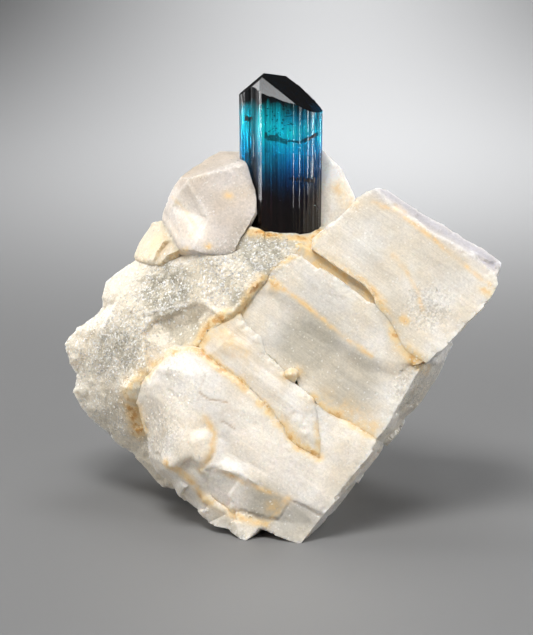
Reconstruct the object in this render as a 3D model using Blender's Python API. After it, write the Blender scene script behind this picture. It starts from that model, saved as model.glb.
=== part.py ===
"""A tourmaline crystal standing on its feldspar and quartz matrix: a loose hand specimen. Metres, +Z up.

The specimen is laid out in millimetres in a leaning frame: x to the right, up its broad cleavage face, and out of
that face. The frame leans back by LEAN where the specimen stands. The face itself leans and turns a little more, by
FACE_TIP and FACE_TURN. The tourmaline stands upright. The origin is under the middle of the specimen's bounding
box, on the flat break that it stands on.
"""

import math

import bmesh
import bpy
from mathutils import Matrix, Vector
from mathutils.geometry import delaunay_2d_cdt

MM = 0.001
LEAN = math.radians(13)
FACE_OUT = 15.3  # how far out the cleavage face lies at x = 0 and FACE_MIDDLE
FACE_MIDDLE = 30.0
FACE_TURN = 0.12  # how much further out it comes for each millimetre to the right
FACE_TIP = 0.10  # how much further in it goes for each millimetre up
SEAM = 0.32  # gap between neighbouring pieces
SHARPEST = 1.6  # how much further than SEAM a cutter's sharp corners may move
FLOOR = 4.3  # height of the flat break that the specimen stands on, above the leaning frame's origin

CRYSTAL_X, CRYSTAL_Y = 2.2, 12.0  # the tourmaline's axis, in the standing frame
CRYSTAL_BURIED = 52.0  # height of its buried end
CRYSTAL_PEAK = 93.4  # height of its point
CRYSTAL_TAPER = 0.95  # its width at the buried end, as a share of the width at the top

LEANING = Matrix.Rotation(-LEAN, 4, "X")


def clear_scene():
    for obj in list(bpy.data.objects):
        bpy.data.objects.remove(obj)


def collection(name):
    made = bpy.data.collections.new(name)
    bpy.context.scene.collection.children.link(made)
    return made


def stone(name, colour, roughness):
    """A plain Principled material."""
    material = bpy.data.materials.new(name)
    material.use_nodes = True
    shader = material.node_tree.nodes["Principled BSDF"]
    shader.inputs["Base Color"].default_value = (*colour, 1)
    shader.inputs["Roughness"].default_value = roughness
    shader.inputs["Metallic"].default_value = 0.0
    return material


def standing(x, up, out):
    """A point of the leaning frame, in millimetres, as a point of the standing specimen, in metres."""
    return LEANING @ Vector((x, -out, up)) * MM


def face(x, up, proud=0.0):
    """A point on the broad cleavage face, or proud of it."""
    return (x, up, FACE_OUT + FACE_TURN * x - FACE_TIP * (up - FACE_MIDDLE) + proud)


def object_from(bm, name):
    """An object that holds bm, with its faces turned outwards."""
    bmesh.ops.recalc_face_normals(bm, faces=bm.faces)
    mesh = bpy.data.meshes.new(name)
    bm.to_mesh(mesh)
    bm.free()
    obj = bpy.data.objects.new(name, mesh)
    bpy.context.scene.collection.objects.link(obj)
    return obj


def lump(name, corners):
    """A convex block with these corners."""
    bm = bmesh.new()
    for corner in corners:
        bm.verts.new(standing(*corner))
    made = bmesh.ops.convex_hull(bm, input=bm.verts)
    spare = {g for g in made["geom_interior"] + made["geom_unused"] if isinstance(g, bmesh.types.BMVert)}
    bmesh.ops.delete(bm, geom=list(spare), context="VERTS")
    return object_from(bm, name)


def ring_behind(rim, shift, out, scale):
    """A copy of a rim, moved sideways by shift, shrunk towards its middle and set back to out."""
    middle_x = sum(x for x, _, _ in rim) / len(rim)
    middle_up = sum(up for _, up, _ in rim) / len(rim)
    return [
        (middle_x + (x - middle_x) * scale + shift[0], middle_up + (up - middle_up) * scale + shift[1], out)
        for x, up, _ in rim
    ]


def close_over(bm, rim_verts, inner):
    """Closes a rim with a faceted surface through inner points."""
    verts = rim_verts + [bm.verts.new(standing(*point)) for point in inner]
    flat = [(LEANING.inverted() @ vert.co) / MM for vert in verts]
    places = [Vector((point.x, point.z)) for point in flat]
    outline = list(range(len(rim_verts)))
    found = delaunay_2d_cdt(places, [], [outline], 1, 1e-5)
    source = [ids[0] for ids in found[3]]
    for corners in found[2]:
        bm.faces.new([verts[source[i]] for i in corners])


def block(name, rim, relief, rings, back_relief=()):
    """A block with a faceted front: a rim, points inside it, then rings that go back to a faceted back."""
    bm = bmesh.new()
    loops = [[bm.verts.new(standing(*point)) for point in rim]]
    for shift, out, scale in rings:
        loops.append([bm.verts.new(standing(*point)) for point in ring_behind(rim, shift, out, scale)])
    for near, far in zip(loops, loops[1:]):
        for i in range(len(near)):
            after = (i + 1) % len(near)
            bm.faces.new((near[after], near[i], far[i], far[after]))
    close_over(bm, loops[0], relief)
    close_over(bm, loops[-1], back_relief)
    bmesh.ops.triangulate(bm, faces=bm.faces)
    return object_from(bm, name)


def hidden(obj, cutters):
    """Puts an object that only shapes others among the cutters."""
    bpy.context.scene.collection.objects.unlink(obj)
    cutters.objects.link(obj)
    obj.hide_render = True
    obj.display_type = "WIRE"
    return obj


def boolean(obj, operation, other):
    modifier = obj.modifiers.new(f"{operation.lower()} {other.name}", "BOOLEAN")
    modifier.operation = operation
    modifier.solver = "EXACT"
    modifier.object = other


def swollen(shape):
    """A copy of a shape, grown by the seam's width, to cut its neighbours with."""
    bm = bmesh.new()
    bm.from_mesh(shape.data)
    bm.normal_update()
    moves = [vert.normal * min(vert.calc_shell_factor(), SHARPEST) * SEAM * MM for vert in bm.verts]
    for vert, move in zip(bm.verts, moves):
        vert.co += move
    return object_from(bm, shape.name + "_cutter")


def cleave(obj, point, normal):
    """Takes off what lies beyond a plane, and closes the cut."""
    bm = bmesh.new()
    bm.from_mesh(obj.data)
    everything = [*bm.verts, *bm.edges, *bm.faces]
    cut = bmesh.ops.bisect_plane(
        bm, geom=everything, dist=1e-7, plane_co=point, plane_no=normal, clear_outer=True
    )
    rim = [g for g in cut["geom_cut"] if isinstance(g, bmesh.types.BMEdge)]
    bmesh.ops.holes_fill(bm, edges=rim, sides=0)
    bmesh.ops.recalc_face_normals(bm, faces=bm.faces)
    bm.to_mesh(obj.data)
    bm.free()


def tourmaline_crystal():
    """An upright prism of three bowed sides, with a low three-sided point and two small faces in front."""
    section = [
        (-8.5, 1.6), (-7.6, -1.0), (-5.8, -3.6), (-4.2, -5.4), (-0.2, -6.2), (3.9, -6.4), (6.2, -4.8),
        (7.8, -2.4), (8.5, 0.6), (7.0, 3.8), (3.8, 6.6), (0.2, 7.6), (-4.0, 6.6), (-7.2, 4.4),
    ]
    bm = bmesh.new()
    rings = []
    for height, share in ((CRYSTAL_BURIED, CRYSTAL_TAPER), (CRYSTAL_PEAK + 4, 1.0)):
        ring = [Vector((CRYSTAL_X + x * share, CRYSTAL_Y + y * share, height)) * MM for x, y in section]
        rings.append([bm.verts.new(point) for point in ring])
    bm.faces.new(rings[0])
    bm.faces.new(rings[1])
    for i in range(len(section)):
        after = (i + 1) % len(section)
        bm.faces.new((rings[0][i], rings[0][after], rings[1][after], rings[1][i]))
    crystal = object_from(bm, "tourmaline_crystal")
    peak = Vector((CRYSTAL_X, CRYSTAL_Y, CRYSTAL_PEAK))
    faces = [
        ((0.8, -6.2, -4.0), (0.54, -0.15, 0.83)),  # broad right face
        ((-3.8, 0.5, -0.4), (-0.68, -0.02, 0.73)),  # narrow left face
        ((-3.3, 0.3, -0.1), (-0.47, 0.47, 0.75)),  # back face
        ((-3.6, -3.0, -0.3), (-0.04, -0.78, 0.63)),  # small front face, right of the chevron
        ((-4.6, -5.2, -3.1), (-0.62, -0.50, 0.60)),  # small front face, left of the chevron
    ]
    for point, normal in faces:
        cleave(crystal, (peak + Vector(point)) * MM, Vector(normal))
    return [crystal]


def left_crystal():
    """The blocky feldspar crystal that leans against the tourmaline's left side."""
    front = [
        (-5.6, 76.2, 6.6), (-4.0, 76.2, 7.0), (-3.4, 72.2, 8.2), (-3.0, 68.2, 9.0), (-2.8, 64.6, 9.6),
        (-4.0, 62.0, 10.2), (-6.6, 58.6, 10.6), (-9.0, 57.8, 10.6), (-12.0, 57.6, 10.4), (-16.0, 58.2, 9.4),
        (-13.0, 63.8, 11.4), (-12.6, 65.2, 11.4), (-14.4, 69.2, 10.2), (-16.4, 72.6, 7.2), (-8.0, 75.6, 6.6),
    ]
    left = [
        (-18.4, 72.8, 4.6), (-19.6, 70.8, 3.0), (-20.4, 69.6, 1.6), (-21.0, 68.0, 0.0), (-22.0, 65.6, -2.0),
        (-17.4, 58.4, 7.6), (-20.0, 60.0, 2.0),
    ]
    top = [(-15.0, 75.6, -1.0), (-13.0, 77.2, -4.0), (-10.2, 79.0, -8.0), (-6.0, 78.8, -7.6), (-4.0, 78.6, -8.0)]
    buried = [(-20.0, 56.0, -4.0), (-4.0, 56.0, 4.0), (-16.0, 60.0, -18.0), (-4.0, 60.0, -20.0), (-5.0, 76.0, -17.0)]
    return [lump("left_feldspar_crystal", front + left + top + buried)]


def small_crystal():
    """The small feldspar crystal below the left one, at the edge of the matrix."""
    seen = [
        (-24.0, 64.2, -4.0), (-22.6, 64.4, -2.0), (-21.0, 64.0, 0.6), (-25.2, 62.6, -5.0), (-27.4, 59.4, -6.0),
        (-28.0, 57.4, -6.0), (-27.0, 56.6, -3.6), (-24.0, 55.8, 1.4), (-22.4, 55.6, 3.4), (-21.0, 57.2, 4.6),
        (-18.6, 58.2, 5.8), (-17.6, 59.0, 6.0), (-18.4, 61.8, 4.8),
    ]
    buried = [(-26.0, 58.0, -18.0), (-18.0, 62.0, -18.0), (-26.0, 53.0, -14.0), (-18.0, 52.0, -4.0)]
    return [lump("small_feldspar_crystal", seen + buried)]


def rear_crystal():
    """The feldspar crystal behind the tourmaline, seen to its right."""
    seen = [
        (10.6, 79.0, -1.6), (11.6, 77.8, -1.4), (12.6, 76.0, -0.8), (14.8, 75.0, -2.6), (15.6, 73.2, -3.0),
        (17.0, 70.2, -3.4), (17.6, 68.4, -3.4), (16.8, 64.0, -3.0), (12.0, 60.0, 0.0), (9.6, 66.0, 0.2),
    ]
    behind = [
        (2.0, 79.4, -6.0), (1.0, 74.0, -5.0), (1.0, 58.0, -5.0), (2.0, 76.0, -19.0), (12.0, 75.6, -17.0),
        (16.0, 67.0, -19.0), (1.0, 56.0, -22.0), (16.6, 56.0, -20.0),
    ]
    return [lump("rear_feldspar_crystal", seen + behind)]


def upper_slab():
    """The thick cleaved slab at the upper right, with a bevelled top edge."""
    bevel = 2.4
    top_edge = [(23.4, 70.0), (28.0, 66.8), (32.0, 64.2), (35.4, 62.6), (38.2, 60.3), (42.0, 58.2), (45.4, 55.4)]
    front = [(44.6, 52.6), (44.8, 51.4), (43.6, 48.8), (38.4, 43.2), (34.8, 39.4), (31.0, 35.9)]
    lower_left = [
        (27.2, 38.2), (26.2, 39.8), (24.6, 43.2), (23.2, 45.2), (21.6, 46.6), (20.6, 48.8), (19.6, 50.2),
        (18.6, 51.4), (17.0, 52.4), (13.0, 55.2), (8.2, 58.4),
    ]
    upper_left = [(8.8, 60.4), (12.0, 63.2), (16.0, 66.6), (17.6, 68.4), (19.2, 69.6), (21.2, 70.2)]
    rim = [face(*p, -bevel) for p in top_edge] + [face(*p) for p in front + lower_left + upper_left]
    relief = [
        face(23.0, 68.0), face(24.6, 66.6), face(32.0, 61.5), face(40.0, 57.1), face(43.8, 53.6),
        face(26.0, 54.0, -0.2), face(34.0, 48.0, -0.3), face(30.0, 42.0, -0.4), face(18.0, 60.0),
    ]
    rings = [((0.6, -0.7), -2.0, 1.0), ((0.2, -1.4), -8.0, 0.94), ((-0.8, -2.6), -13.0, 0.76)]
    return [block("upper_feldspar_slab", rim, relief, rings, [(28.0, 54.0, -15.0), (20.0, 60.0, -14.0)])]


def middle_slab():
    """The middle slab: a raised fibrous strip along its upper edge, a broad grey face and a ledge under the gap."""
    step_down = 1.1
    gap_floor = 5.6
    upper = [(4.0, 57.2), (6.2, 57.2), (9.0, 54.8), (13.0, 52.4), (17.0, 49.8), (21.4, 46.4)]
    under_slab = [(23.0, 44.6), (24.6, 42.0), (26.2, 38.8), (27.6, 37.4), (30.6, 35.6)]
    right = [(29.6, 34.6), (28.4, 33.0), (27.0, 30.2), (25.0, 26.8), (23.0, 23.2), (21.0, 20.8)]
    lower = [
        (18.4, 22.6), (16.0, 24.2), (14.0, 24.8), (11.6, 25.8), (10.0, 27.0), (8.6, 28.9), (7.0, 30.2),
        (5.8, 31.4), (5.0, 34.4), (2.6, 34.3), (1.0, 36.2), (-1.0, 37.8), (-2.0, 40.8), (-3.6, 42.3),
    ]
    left = [(-5.4, 44.8), (-5.8, 46.0), (-3.0, 49.6), (-1.6, 51.4)]
    step_left, step_right = [(-0.6, 52.0), (2.0, 50.8), (6.0, 48.2), (10.0, 44.6), (15.0, 40.6)], [(20.0, 37.2)]
    step = step_left + step_right + [(27.0, 35.6)]
    low_rim = [face(*p, -step_down) for p in step[::-1] + left[::-1] + lower[::-1] + right[::-1]]
    low = block(
        "middle_feldspar_slab",
        [face(30.2, 35.3, -step_down)] + low_rim,
        [face(5.0, 42.0, -1.5), face(14.0, 34.0, -1.4), face(22.0, 28.0, -1.2)],
        [((3.0, -2.0), -6.0, 1.0), ((3.4, -2.4), -16.0, 0.94)],
    )
    strip = block(
        "strip",
        [face(*p, -0.2) for p in upper + under_slab] + [face(*p, -0.3) for p in step[::-1]] + [face(0.2, 53.8, -0.5)],
        [],
        [((1.7, -1.4), 1.4, 0.99), ((2.6, -2.2), -5.3, 0.94)],
    )
    ledge = block(
        "ledge",
        [face(*p, -gap_floor) for p in (
            (6.0, 56.0), (8.6, 58.8), (14.0, 56.0), (20.0, 51.6), (23.0, 46.6), (21.0, 44.0), (15.0, 48.0), (9.0, 52.0)
        )],
        [],
        [((1.4, -1.0), 0.0, 0.95)],
    )
    flank = lump(
        "flank",
        [(30.4, 35.0, 9.6), (22.8, 22.6, 10.4), (37.8, 41.6, -2.0), (37.4, 39.2, -1.0), (36.0, 36.2, 0.0)]
        + [(34.2, 33.2, -1.0), (31.4, 28.4, -2.0), (28.4, 25.2, -3.0), (25.8, 22.8, -4.0), (21.6, 23.4, -13.0)]
        + [(36.4, 40.0, -13.5), (30.0, 46.0, -4.0), (28.0, 44.0, -17.0), (14.0, 31.0, -2.0), (31.0, 30.6, -14.0)],
    )
    return [low, strip, ledge, flank]


def tongue():
    """The iron-stained tongue that stands proud between the middle slab and the lower block."""
    rim = [
        face(-14.2, 39.2, -1.6), face(-12.0, 42.2, -0.8), face(-9.6, 44.0, -0.4), face(-7.4, 45.4, -0.4),
        face(-6.0, 45.4, -0.2), face(-5.6, 44.4), face(-3.6, 42.0, 0.1), face(-1.9, 40.8, 0.1), face(-1.0, 37.6, 0.1),
        face(1.0, 36.0, 0.1), face(2.6, 34.0, 0.2), face(3.0, 32.6, 0.2), face(4.8, 31.4, 0.1), face(7.0, 30.0, 0.1),
        face(8.5, 28.6), face(9.2, 25.2, -0.2), face(9.4, 22.2, -0.3), face(9.8, 20.2, -0.4), face(9.8, 17.0, -0.7),
        face(7.6, 18.2, -0.4), face(5.6, 19.2, -0.3), face(3.6, 20.8, -0.3), face(2.6, 23.2, -0.2), face(1.0, 25.0),
        face(-1.0, 27.6), face(-3.0, 29.8, -0.1), face(-6.0, 32.2, -0.2), face(-10.0, 35.0, -0.4),
        face(-13.0, 37.2, -1.0),
    ]
    relief = [
        face(-9.0, 40.0, 0.5), face(-5.0, 38.6, 0.8), face(-3.0, 33.6, 0.5), face(1.6, 30.0, 0.8), face(5.0, 26.0, 0.8),
        face(7.0, 22.0, 0.5), face(-10.6, 38.2, 0.2),
    ]
    return [block("stained_feldspar_tongue", rim, relief, [((0.8, -0.6), 3.0, 0.9)])]


def nub():
    """The small rounded crystal where the tongue meets the middle slab."""
    around = [(2.2, 32.8), (2.6, 33.8), (4.0, 34.8), (5.6, 34.6), (5.8, 33.4), (4.8, 31.4), (3.0, 32.2)]
    corners = [face(*p, 0.1) for p in around] + [face(3.6, 33.6, 1.5), face(4.6, 33.4, 1.3)]
    return [lump("small_nub", corners + [face(3.4, 33.0, -3.0), face(4.8, 33.6, -3.0)])]


def lower_block():
    """The large lower block: a flat striated slab on the right that swells into a broken shoulder on the left."""
    top_left = [
        face(-26.8, 27.6, -8.0), face(-26.2, 30.8, -6.6), face(-24.0, 34.0, -4.2), face(-21.6, 36.4, -2.8),
        face(-21.0, 38.0, -2.6), face(-18.8, 39.0, -1.6), face(-17.0, 39.0, -1.0), face(-14.4, 38.6, -0.4),
    ]
    under_tongue = [face(-10.0, 37.4, -2.0), face(-4.0, 34.6, -2.0), face(3.0, 31.0, -2.0), face(8.9, 28.2, -0.9)]
    right = [
        face(10.0, 26.7, -0.9), face(11.6, 25.5, -0.9), face(14.0, 24.5, -0.9), face(16.0, 23.9, -0.8),
        face(18.4, 22.3, -0.6), face(20.9, 20.4, -0.5), face(20.4, 18.8, -0.5), face(16.4, 13.6, -0.4),
        face(13.0, 9.0, -0.4), face(9.0, 4.0, -0.4), face(6.0, 0.0, -0.3),
    ]
    bottom = [
        face(3.6, 0.7, -0.8), face(0.0, 2.2, -1.4), face(-2.0, 3.0, -1.8), face(-3.0, 2.0, -1.6),
        face(-4.8, 0.6, -1.0), face(-5.8, 0.9, -1.6), face(-8.2, 2.8, -3.6), face(-10.8, 3.3, -4.6),
        face(-12.0, 3.9, -5.4), face(-14.6, 6.4, -6.6), face(-17.4, 8.4, -7.6), face(-18.4, 9.6, -8.0),
        face(-19.6, 11.6, -8.2), face(-22.6, 13.6, -9.4), face(-24.2, 16.6, -9.4), face(-25.2, 20.6, -9.0),
        face(-25.8, 23.2, -8.8), face(-26.6, 26.0, -8.4),
    ]
    shoulder = [
        face(-23.4, 30.6, -1.8), face(-21.0, 26.0, -0.8), face(-20.0, 20.6, -0.4), face(-19.8, 15.4, -1.2),
        face(-17.6, 12.0, -3.4), face(-20.0, 34.6, 0.4), face(-16.0, 24.0, 1.4), face(-15.0, 17.6, 1.0),
        face(-11.6, 20.4, 0.6), face(-15.0, 33.0, 1.4), face(-8.0, 27.0, 1.3),
    ]
    along_tongue = [
        face(-13.2, 36.8, 0.6), face(-10.2, 34.6, 0.9), face(-6.2, 31.8, 1.0), face(-3.2, 29.4, 1.0),
        face(-1.2, 27.2, 0.9), face(0.8, 24.7, 0.8), face(2.2, 23.0, 0.6), face(3.2, 20.5, 0.5), face(5.4, 18.8, 0.3),
        face(7.5, 17.8, 0.1), face(9.8, 16.5, -0.2), face(10.3, 20.2, -0.6), face(9.9, 25.2, -0.8),
        face(4.0, 25.0, -2.0), face(8.0, 20.0, -2.0), face(-2.0, 31.6, -2.0),
    ]
    scar = [
        face(-13.4, 14.2, 0.6), face(-11.6, 15.2, 0.8), face(-6.0, 13.8, 1.0), face(-2.0, 11.6, 0.9),
        face(4.2, 8.2, 0.2), face(-13.6, 9.4, -3.0), face(-7.0, 6.4, -2.8), face(-1.6, 4.2, -1.8), face(1.2, 4.4, -1.2),
    ]
    plain = [face(2.0, 17.0, 0.8), face(12.0, 14.0, 0.0), face(14.0, 20.0, -0.2), face(8.0, 8.0, 0.2)]
    rings = [((2.4, -0.9), -2.0, 1.0), ((0.8, 2.0), -16.0, 0.94), ((-0.6, 6.0), -29.0, 0.8)]
    back = [(-8.0, 22.0, -32.0), (4.0, 18.0, -31.0)]
    body = block(
        "lower_feldspar_block", top_left + under_tongue + right + bottom,
        along_tongue + shoulder + scar + plain, rings, back
    )
    return [body]


def granular_mass():
    """The quartz-rich granular mass: the shelf that the crystals stand on, the lobe on the left and the back."""
    left_edge = [
        (-18.4, 9.4, -5.0), (-22.0, 9.8, -7.0), (-23.2, 10.8, -8.0), (-25.4, 13.4, -9.0), (-28.4, 16.6, -10.0),
        (-31.4, 18.6, -11.0), (-33.6, 21.0, -12.0), (-37.6, 24.0, -13.0), (-39.0, 25.8, -13.0), (-40.8, 29.2, -13.0),
        (-40.0, 33.0, -12.0), (-41.4, 35.0, -12.0), (-42.6, 39.0, -13.0), (-41.8, 40.4, -12.6), (-40.0, 42.4, -11.6),
        (-36.0, 45.0, -9.0), (-34.4, 46.8, -8.6), (-34.6, 48.8, -9.0), (-33.8, 52.0, -9.0), (-31.0, 54.2, -7.0),
        (-28.6, 55.8, -6.0),
    ]
    hidden_top = [(-24.0, 59.0, -5.0), (-18.0, 61.0, -1.0), (-8.0, 62.0, 3.0), (0.0, 63.0, 4.0), (11.0, 63.4, 2.0)]
    hidden_right = [
        (13.0, 59.0, 7.0), (8.4, 58.4, 10.4), (4.6, 55.0, 10.0), (2.0, 50.0, 9.0), (-2.0, 44.0, 9.0),
        (-6.0, 38.0, 9.0), (-12.0, 32.0, 8.0), (-18.0, 26.0, 4.0), (-18.0, 14.0, 0.0),
    ]
    shelf = [
        (8.4, 60.2, 10.6), (6.0, 58.6, 11.2), (4.0, 57.4, 11.8), (1.6, 55.6, 12.4), (0.0, 53.8, 12.9),
        (-1.8, 52.0, 13.4), (-4.0, 49.8, 13.8), (-5.8, 48.0, 14.0), (-7.6, 45.6, 13.9), (-9.6, 44.2, 13.4),
        (-12.0, 42.3, 12.6),
        (-14.2, 40.2, 11.6), (-3.2, 61.8, 8.1), (1.0, 61.8, 8.2), (5.0, 61.8, 8.3), (7.8, 60.4, 8.9),
        (9.8, 62.2, 5.6), (-6.0, 58.0, 10.0),
        (-14.0, 57.6, 8.6), (-8.0, 53.6, 11.6), (-11.0, 48.0, 11.8), (-14.0, 53.2, 8.8), (-20.0, 51.2, 5.0),
        (-17.0, 55.6, 6.6), (-15.0, 43.6, 9.0), (-20.0, 42.0, 6.2), (-17.6, 47.2, 8.2),
    ]
    lobe = [
        (-22.0, 55.6, 2.6), (-27.0, 52.0, -0.6), (-25.0, 45.6, 5.2), (-25.2, 40.6, 6.4), (-25.0, 36.2, 6.8),
        (-31.0, 48.0, -2.0), (-34.0, 42.4, -3.4), (-37.8, 37.6, -7.6), (-33.0, 34.6, -2.0), (-29.0, 30.4, 3.4),
        (-36.0, 30.0, -7.6), (-33.0, 26.0, -5.4), (-20.4, 38.4, 8.4), (-23.0, 36.4, 7.6), (-26.8, 30.4, 5.0),
        (-27.6, 26.8, 2.0), (-29.4, 21.6, -4.4), (-25.4, 19.4, -2.6), (-23.8, 14.4, -4.0),
    ]
    rings = [((0.0, 0.0), -19.0, 0.98), ((2.0, 2.0), -27.0, 0.82)]
    back = [(-22.0, 38.0, -31.0), (-12.0, 30.0, -30.0), (-10.0, 48.0, -30.0)]
    front_half = block(
        "granular_quartz_mass", left_edge + hidden_top + hidden_right, shelf + lobe, rings, back
    )
    rear = lump(
        "rear",
        [
            (-20.0, 58.0, -6.0), (-8.0, 65.6, -8.0), (8.0, 66.4, -8.0), (18.0, 64.0, -9.0), (27.0, 58.0, -12.0),
            (31.0, 46.0, -12.0), (27.0, 34.0, -10.0), (20.0, 22.0, -12.0), (12.0, 10.0, -14.0), (-16.0, 9.0, -14.0),
            (-20.0, 10.0, -22.0), (12.0, 11.0, -27.0), (20.0, 26.0, -27.0), (24.0, 44.0, -24.0), (14.0, 60.0, -21.0),
            (-4.0, 63.0, -21.0), (-20.0, 54.0, -23.0), (-24.0, 30.0, -27.0), (-10.0, 12.0, -29.0), (0.0, 34.0, -29.0),
        ],
    )
    upper_step = lump(
        "upper_step",
        [
            (-17.0, 57.0, -18.0), (7.0, 63.0, -17.0), (23.0, 53.0, -19.0), (24.0, 40.0, -22.0), (2.0, 34.0, -25.0),
            (-19.0, 44.0, -24.0), (-14.0, 55.0, -29.0), (6.0, 60.0, -27.0), (19.0, 51.0, -30.0), (19.0, 41.0, -33.0),
            (3.0, 37.0, -34.0), (-15.0, 46.0, -33.0),
        ],
    )
    lower_step = lump(
        "lower_step",
        [
            (0.0, 9.0, -25.0), (17.0, 11.0, -24.0), (23.0, 30.0, -25.0), (5.0, 33.5, -27.0),
            (3.0, 11.0, -33.0), (14.0, 14.0, -31.0), (18.0, 28.0, -33.0), (6.0, 30.0, -34.0),
        ],
    )
    return [front_half, rear, upper_step, lower_step]


def floor_cutter():
    """A box below the flat break that the specimen stands on."""
    bm = bmesh.new()
    bmesh.ops.create_cube(bm, size=200 * MM)
    bmesh.ops.translate(bm, verts=bm.verts, vec=Vector((0, 0, FLOOR - 100)) * MM)
    return object_from(bm, "floor_cutter")


def stand_up(pieces, specimen, everything):
    """Puts the origin under the middle of the specimen's bounding box, on the surface that it stands on."""
    graph = bpy.context.evaluated_depsgraph_get()
    points = [vert.co.copy() for piece in pieces for vert in piece.evaluated_get(graph).data.vertices]
    low = Vector([min(point[axis] for point in points) for axis in range(3)])
    high = Vector([max(point[axis] for point in points) for axis in range(3)])
    middle = (low + high) / 2
    specimen.location = (-middle.x, -middle.y, -low.z)
    for obj in everything:
        obj.parent = specimen


def main():
    clear_scene()
    parts, cutters = collection("tourmaline_specimen"), collection("cutters")
    feldspar = stone("cream_feldspar", (0.80, 0.75, 0.68), 0.55)
    quartz = stone("grey_quartz", (0.66, 0.65, 0.60), 0.45)
    stained = stone("stained_feldspar", (0.80, 0.66, 0.48), 0.55)
    blue = stone("blue_tourmaline", (0.02, 0.14, 0.26), 0.12)
    floor = hidden(floor_cutter(), cutters)
    pieces, gaps = [], {}

    def place(make, finish, *neighbours):
        """Makes one piece from its shapes, a seam's width clear of neighbours that are already there."""
        body, *others = make()
        gaps[make] = [hidden(swollen(shape), cutters) for shape in (body, *others)]
        for other in others:
            boolean(body, "UNION", hidden(other, cutters))
        for neighbour in neighbours:
            for gap in gaps[neighbour]:
                boolean(body, "DIFFERENCE", gap)
        boolean(body, "DIFFERENCE", floor)
        body.data.materials.append(finish)
        bpy.context.scene.collection.objects.unlink(body)
        parts.objects.link(body)
        pieces.append(body)

    place(tourmaline_crystal, blue)
    place(left_crystal, feldspar, tourmaline_crystal)
    place(small_crystal, feldspar, left_crystal)
    place(upper_slab, feldspar, tourmaline_crystal)
    place(rear_crystal, feldspar, tourmaline_crystal, upper_slab)
    place(middle_slab, feldspar, tourmaline_crystal, rear_crystal, upper_slab)
    place(tongue, stained, middle_slab)
    place(nub, stained, middle_slab, tongue)
    place(lower_block, feldspar, upper_slab, middle_slab, tongue, nub)
    place(
        granular_mass, quartz, tourmaline_crystal, left_crystal, small_crystal, rear_crystal, upper_slab,
        middle_slab, tongue, lower_block,
    )

    specimen = bpy.data.objects.new("specimen", None)
    parts.objects.link(specimen)
    stand_up(pieces, specimen, [*pieces, *cutters.objects])


main()
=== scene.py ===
"""A tourmaline crystal on its feldspar and quartz matrix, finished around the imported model. Metres, +Z up.

Stains, relief and grain are placed in the specimen's own layout, in millimetres: x to the right, up its broad cleavage
face, and out of that face. The layout leans back by LEAN where the specimen stands.
"""

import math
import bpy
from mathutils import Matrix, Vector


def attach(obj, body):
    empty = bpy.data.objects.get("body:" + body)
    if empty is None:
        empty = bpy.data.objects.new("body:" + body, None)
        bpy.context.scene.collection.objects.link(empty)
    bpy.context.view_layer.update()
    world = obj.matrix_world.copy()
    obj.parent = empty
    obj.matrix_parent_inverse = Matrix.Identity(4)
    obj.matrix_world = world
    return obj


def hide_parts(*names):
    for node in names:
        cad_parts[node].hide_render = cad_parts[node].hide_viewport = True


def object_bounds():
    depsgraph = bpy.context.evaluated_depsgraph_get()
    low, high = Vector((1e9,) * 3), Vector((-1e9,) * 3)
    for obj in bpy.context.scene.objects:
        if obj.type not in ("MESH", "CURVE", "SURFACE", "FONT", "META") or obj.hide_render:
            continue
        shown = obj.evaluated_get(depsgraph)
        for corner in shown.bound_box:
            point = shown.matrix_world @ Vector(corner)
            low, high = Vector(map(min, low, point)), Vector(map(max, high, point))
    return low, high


bl_info = {
    "name": "Tourmaline Specimen",
    "version": (1, 0, 0),
    "blender": (4, 5, 0),
    "location": "3D View > Sidebar > Specimen",
    "description": "Makes the stone, the crystal and the stage of a tourmaline specimen",
    "category": "Object",
}

import bmesh
import bpy
import numpy as np
from bpy.props import FloatProperty, FloatVectorProperty, IntProperty, PointerProperty
from mathutils import Matrix, Vector
from mathutils.bvhtree import BVHTree
from mathutils.kdtree import KDTree

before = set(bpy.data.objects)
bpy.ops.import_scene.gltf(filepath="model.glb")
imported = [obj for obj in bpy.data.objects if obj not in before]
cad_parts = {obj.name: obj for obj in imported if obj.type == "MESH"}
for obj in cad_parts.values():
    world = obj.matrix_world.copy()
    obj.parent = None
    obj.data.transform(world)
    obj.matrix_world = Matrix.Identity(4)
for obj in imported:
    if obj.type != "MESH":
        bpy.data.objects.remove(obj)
CAD_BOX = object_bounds()
PIECES = list(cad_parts)

MM = 0.001
LEAN = math.radians(13)
LEANING = Matrix.Rotation(-LEAN, 3, "X")
SPECIMEN = Vector((-1.7, -12.1, -4.3)) * MM  # where the layout's origin stands
FACE_OUT, FACE_MIDDLE, FACE_TURN, FACE_TIP = 15.3, 30.0, 0.12, 0.10  # the broad cleavage face, as in the CAD model
GRAIN_SLOPE = math.radians(36)  # how far the cleavage striations run down to the right
WELD = 1e-6
ON_PLANE = 1e-7  # how near a plane a vertex counts as on it
BOX_MARGIN = 1e-5  # how far inside the CAD model's box everything stays
CLOSED_BY = 0.6 * MM  # the most that the rims of two touching pieces move towards each other


def standing(x, up, out):
    """A point of the layout, in millimetres, as a point of the standing specimen, in metres."""
    return LEANING @ Vector((x, -out, up)) * MM + SPECIMEN


def direction(x, up, out):
    """A direction of the layout as a direction of the standing specimen."""
    return (LEANING @ Vector((x, -out, up))).normalized()


def broad_face(x, up):
    """How far out the broad cleavage face is."""
    return FACE_OUT + FACE_TURN * x - FACE_TIP * (up - FACE_MIDDLE)


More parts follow.
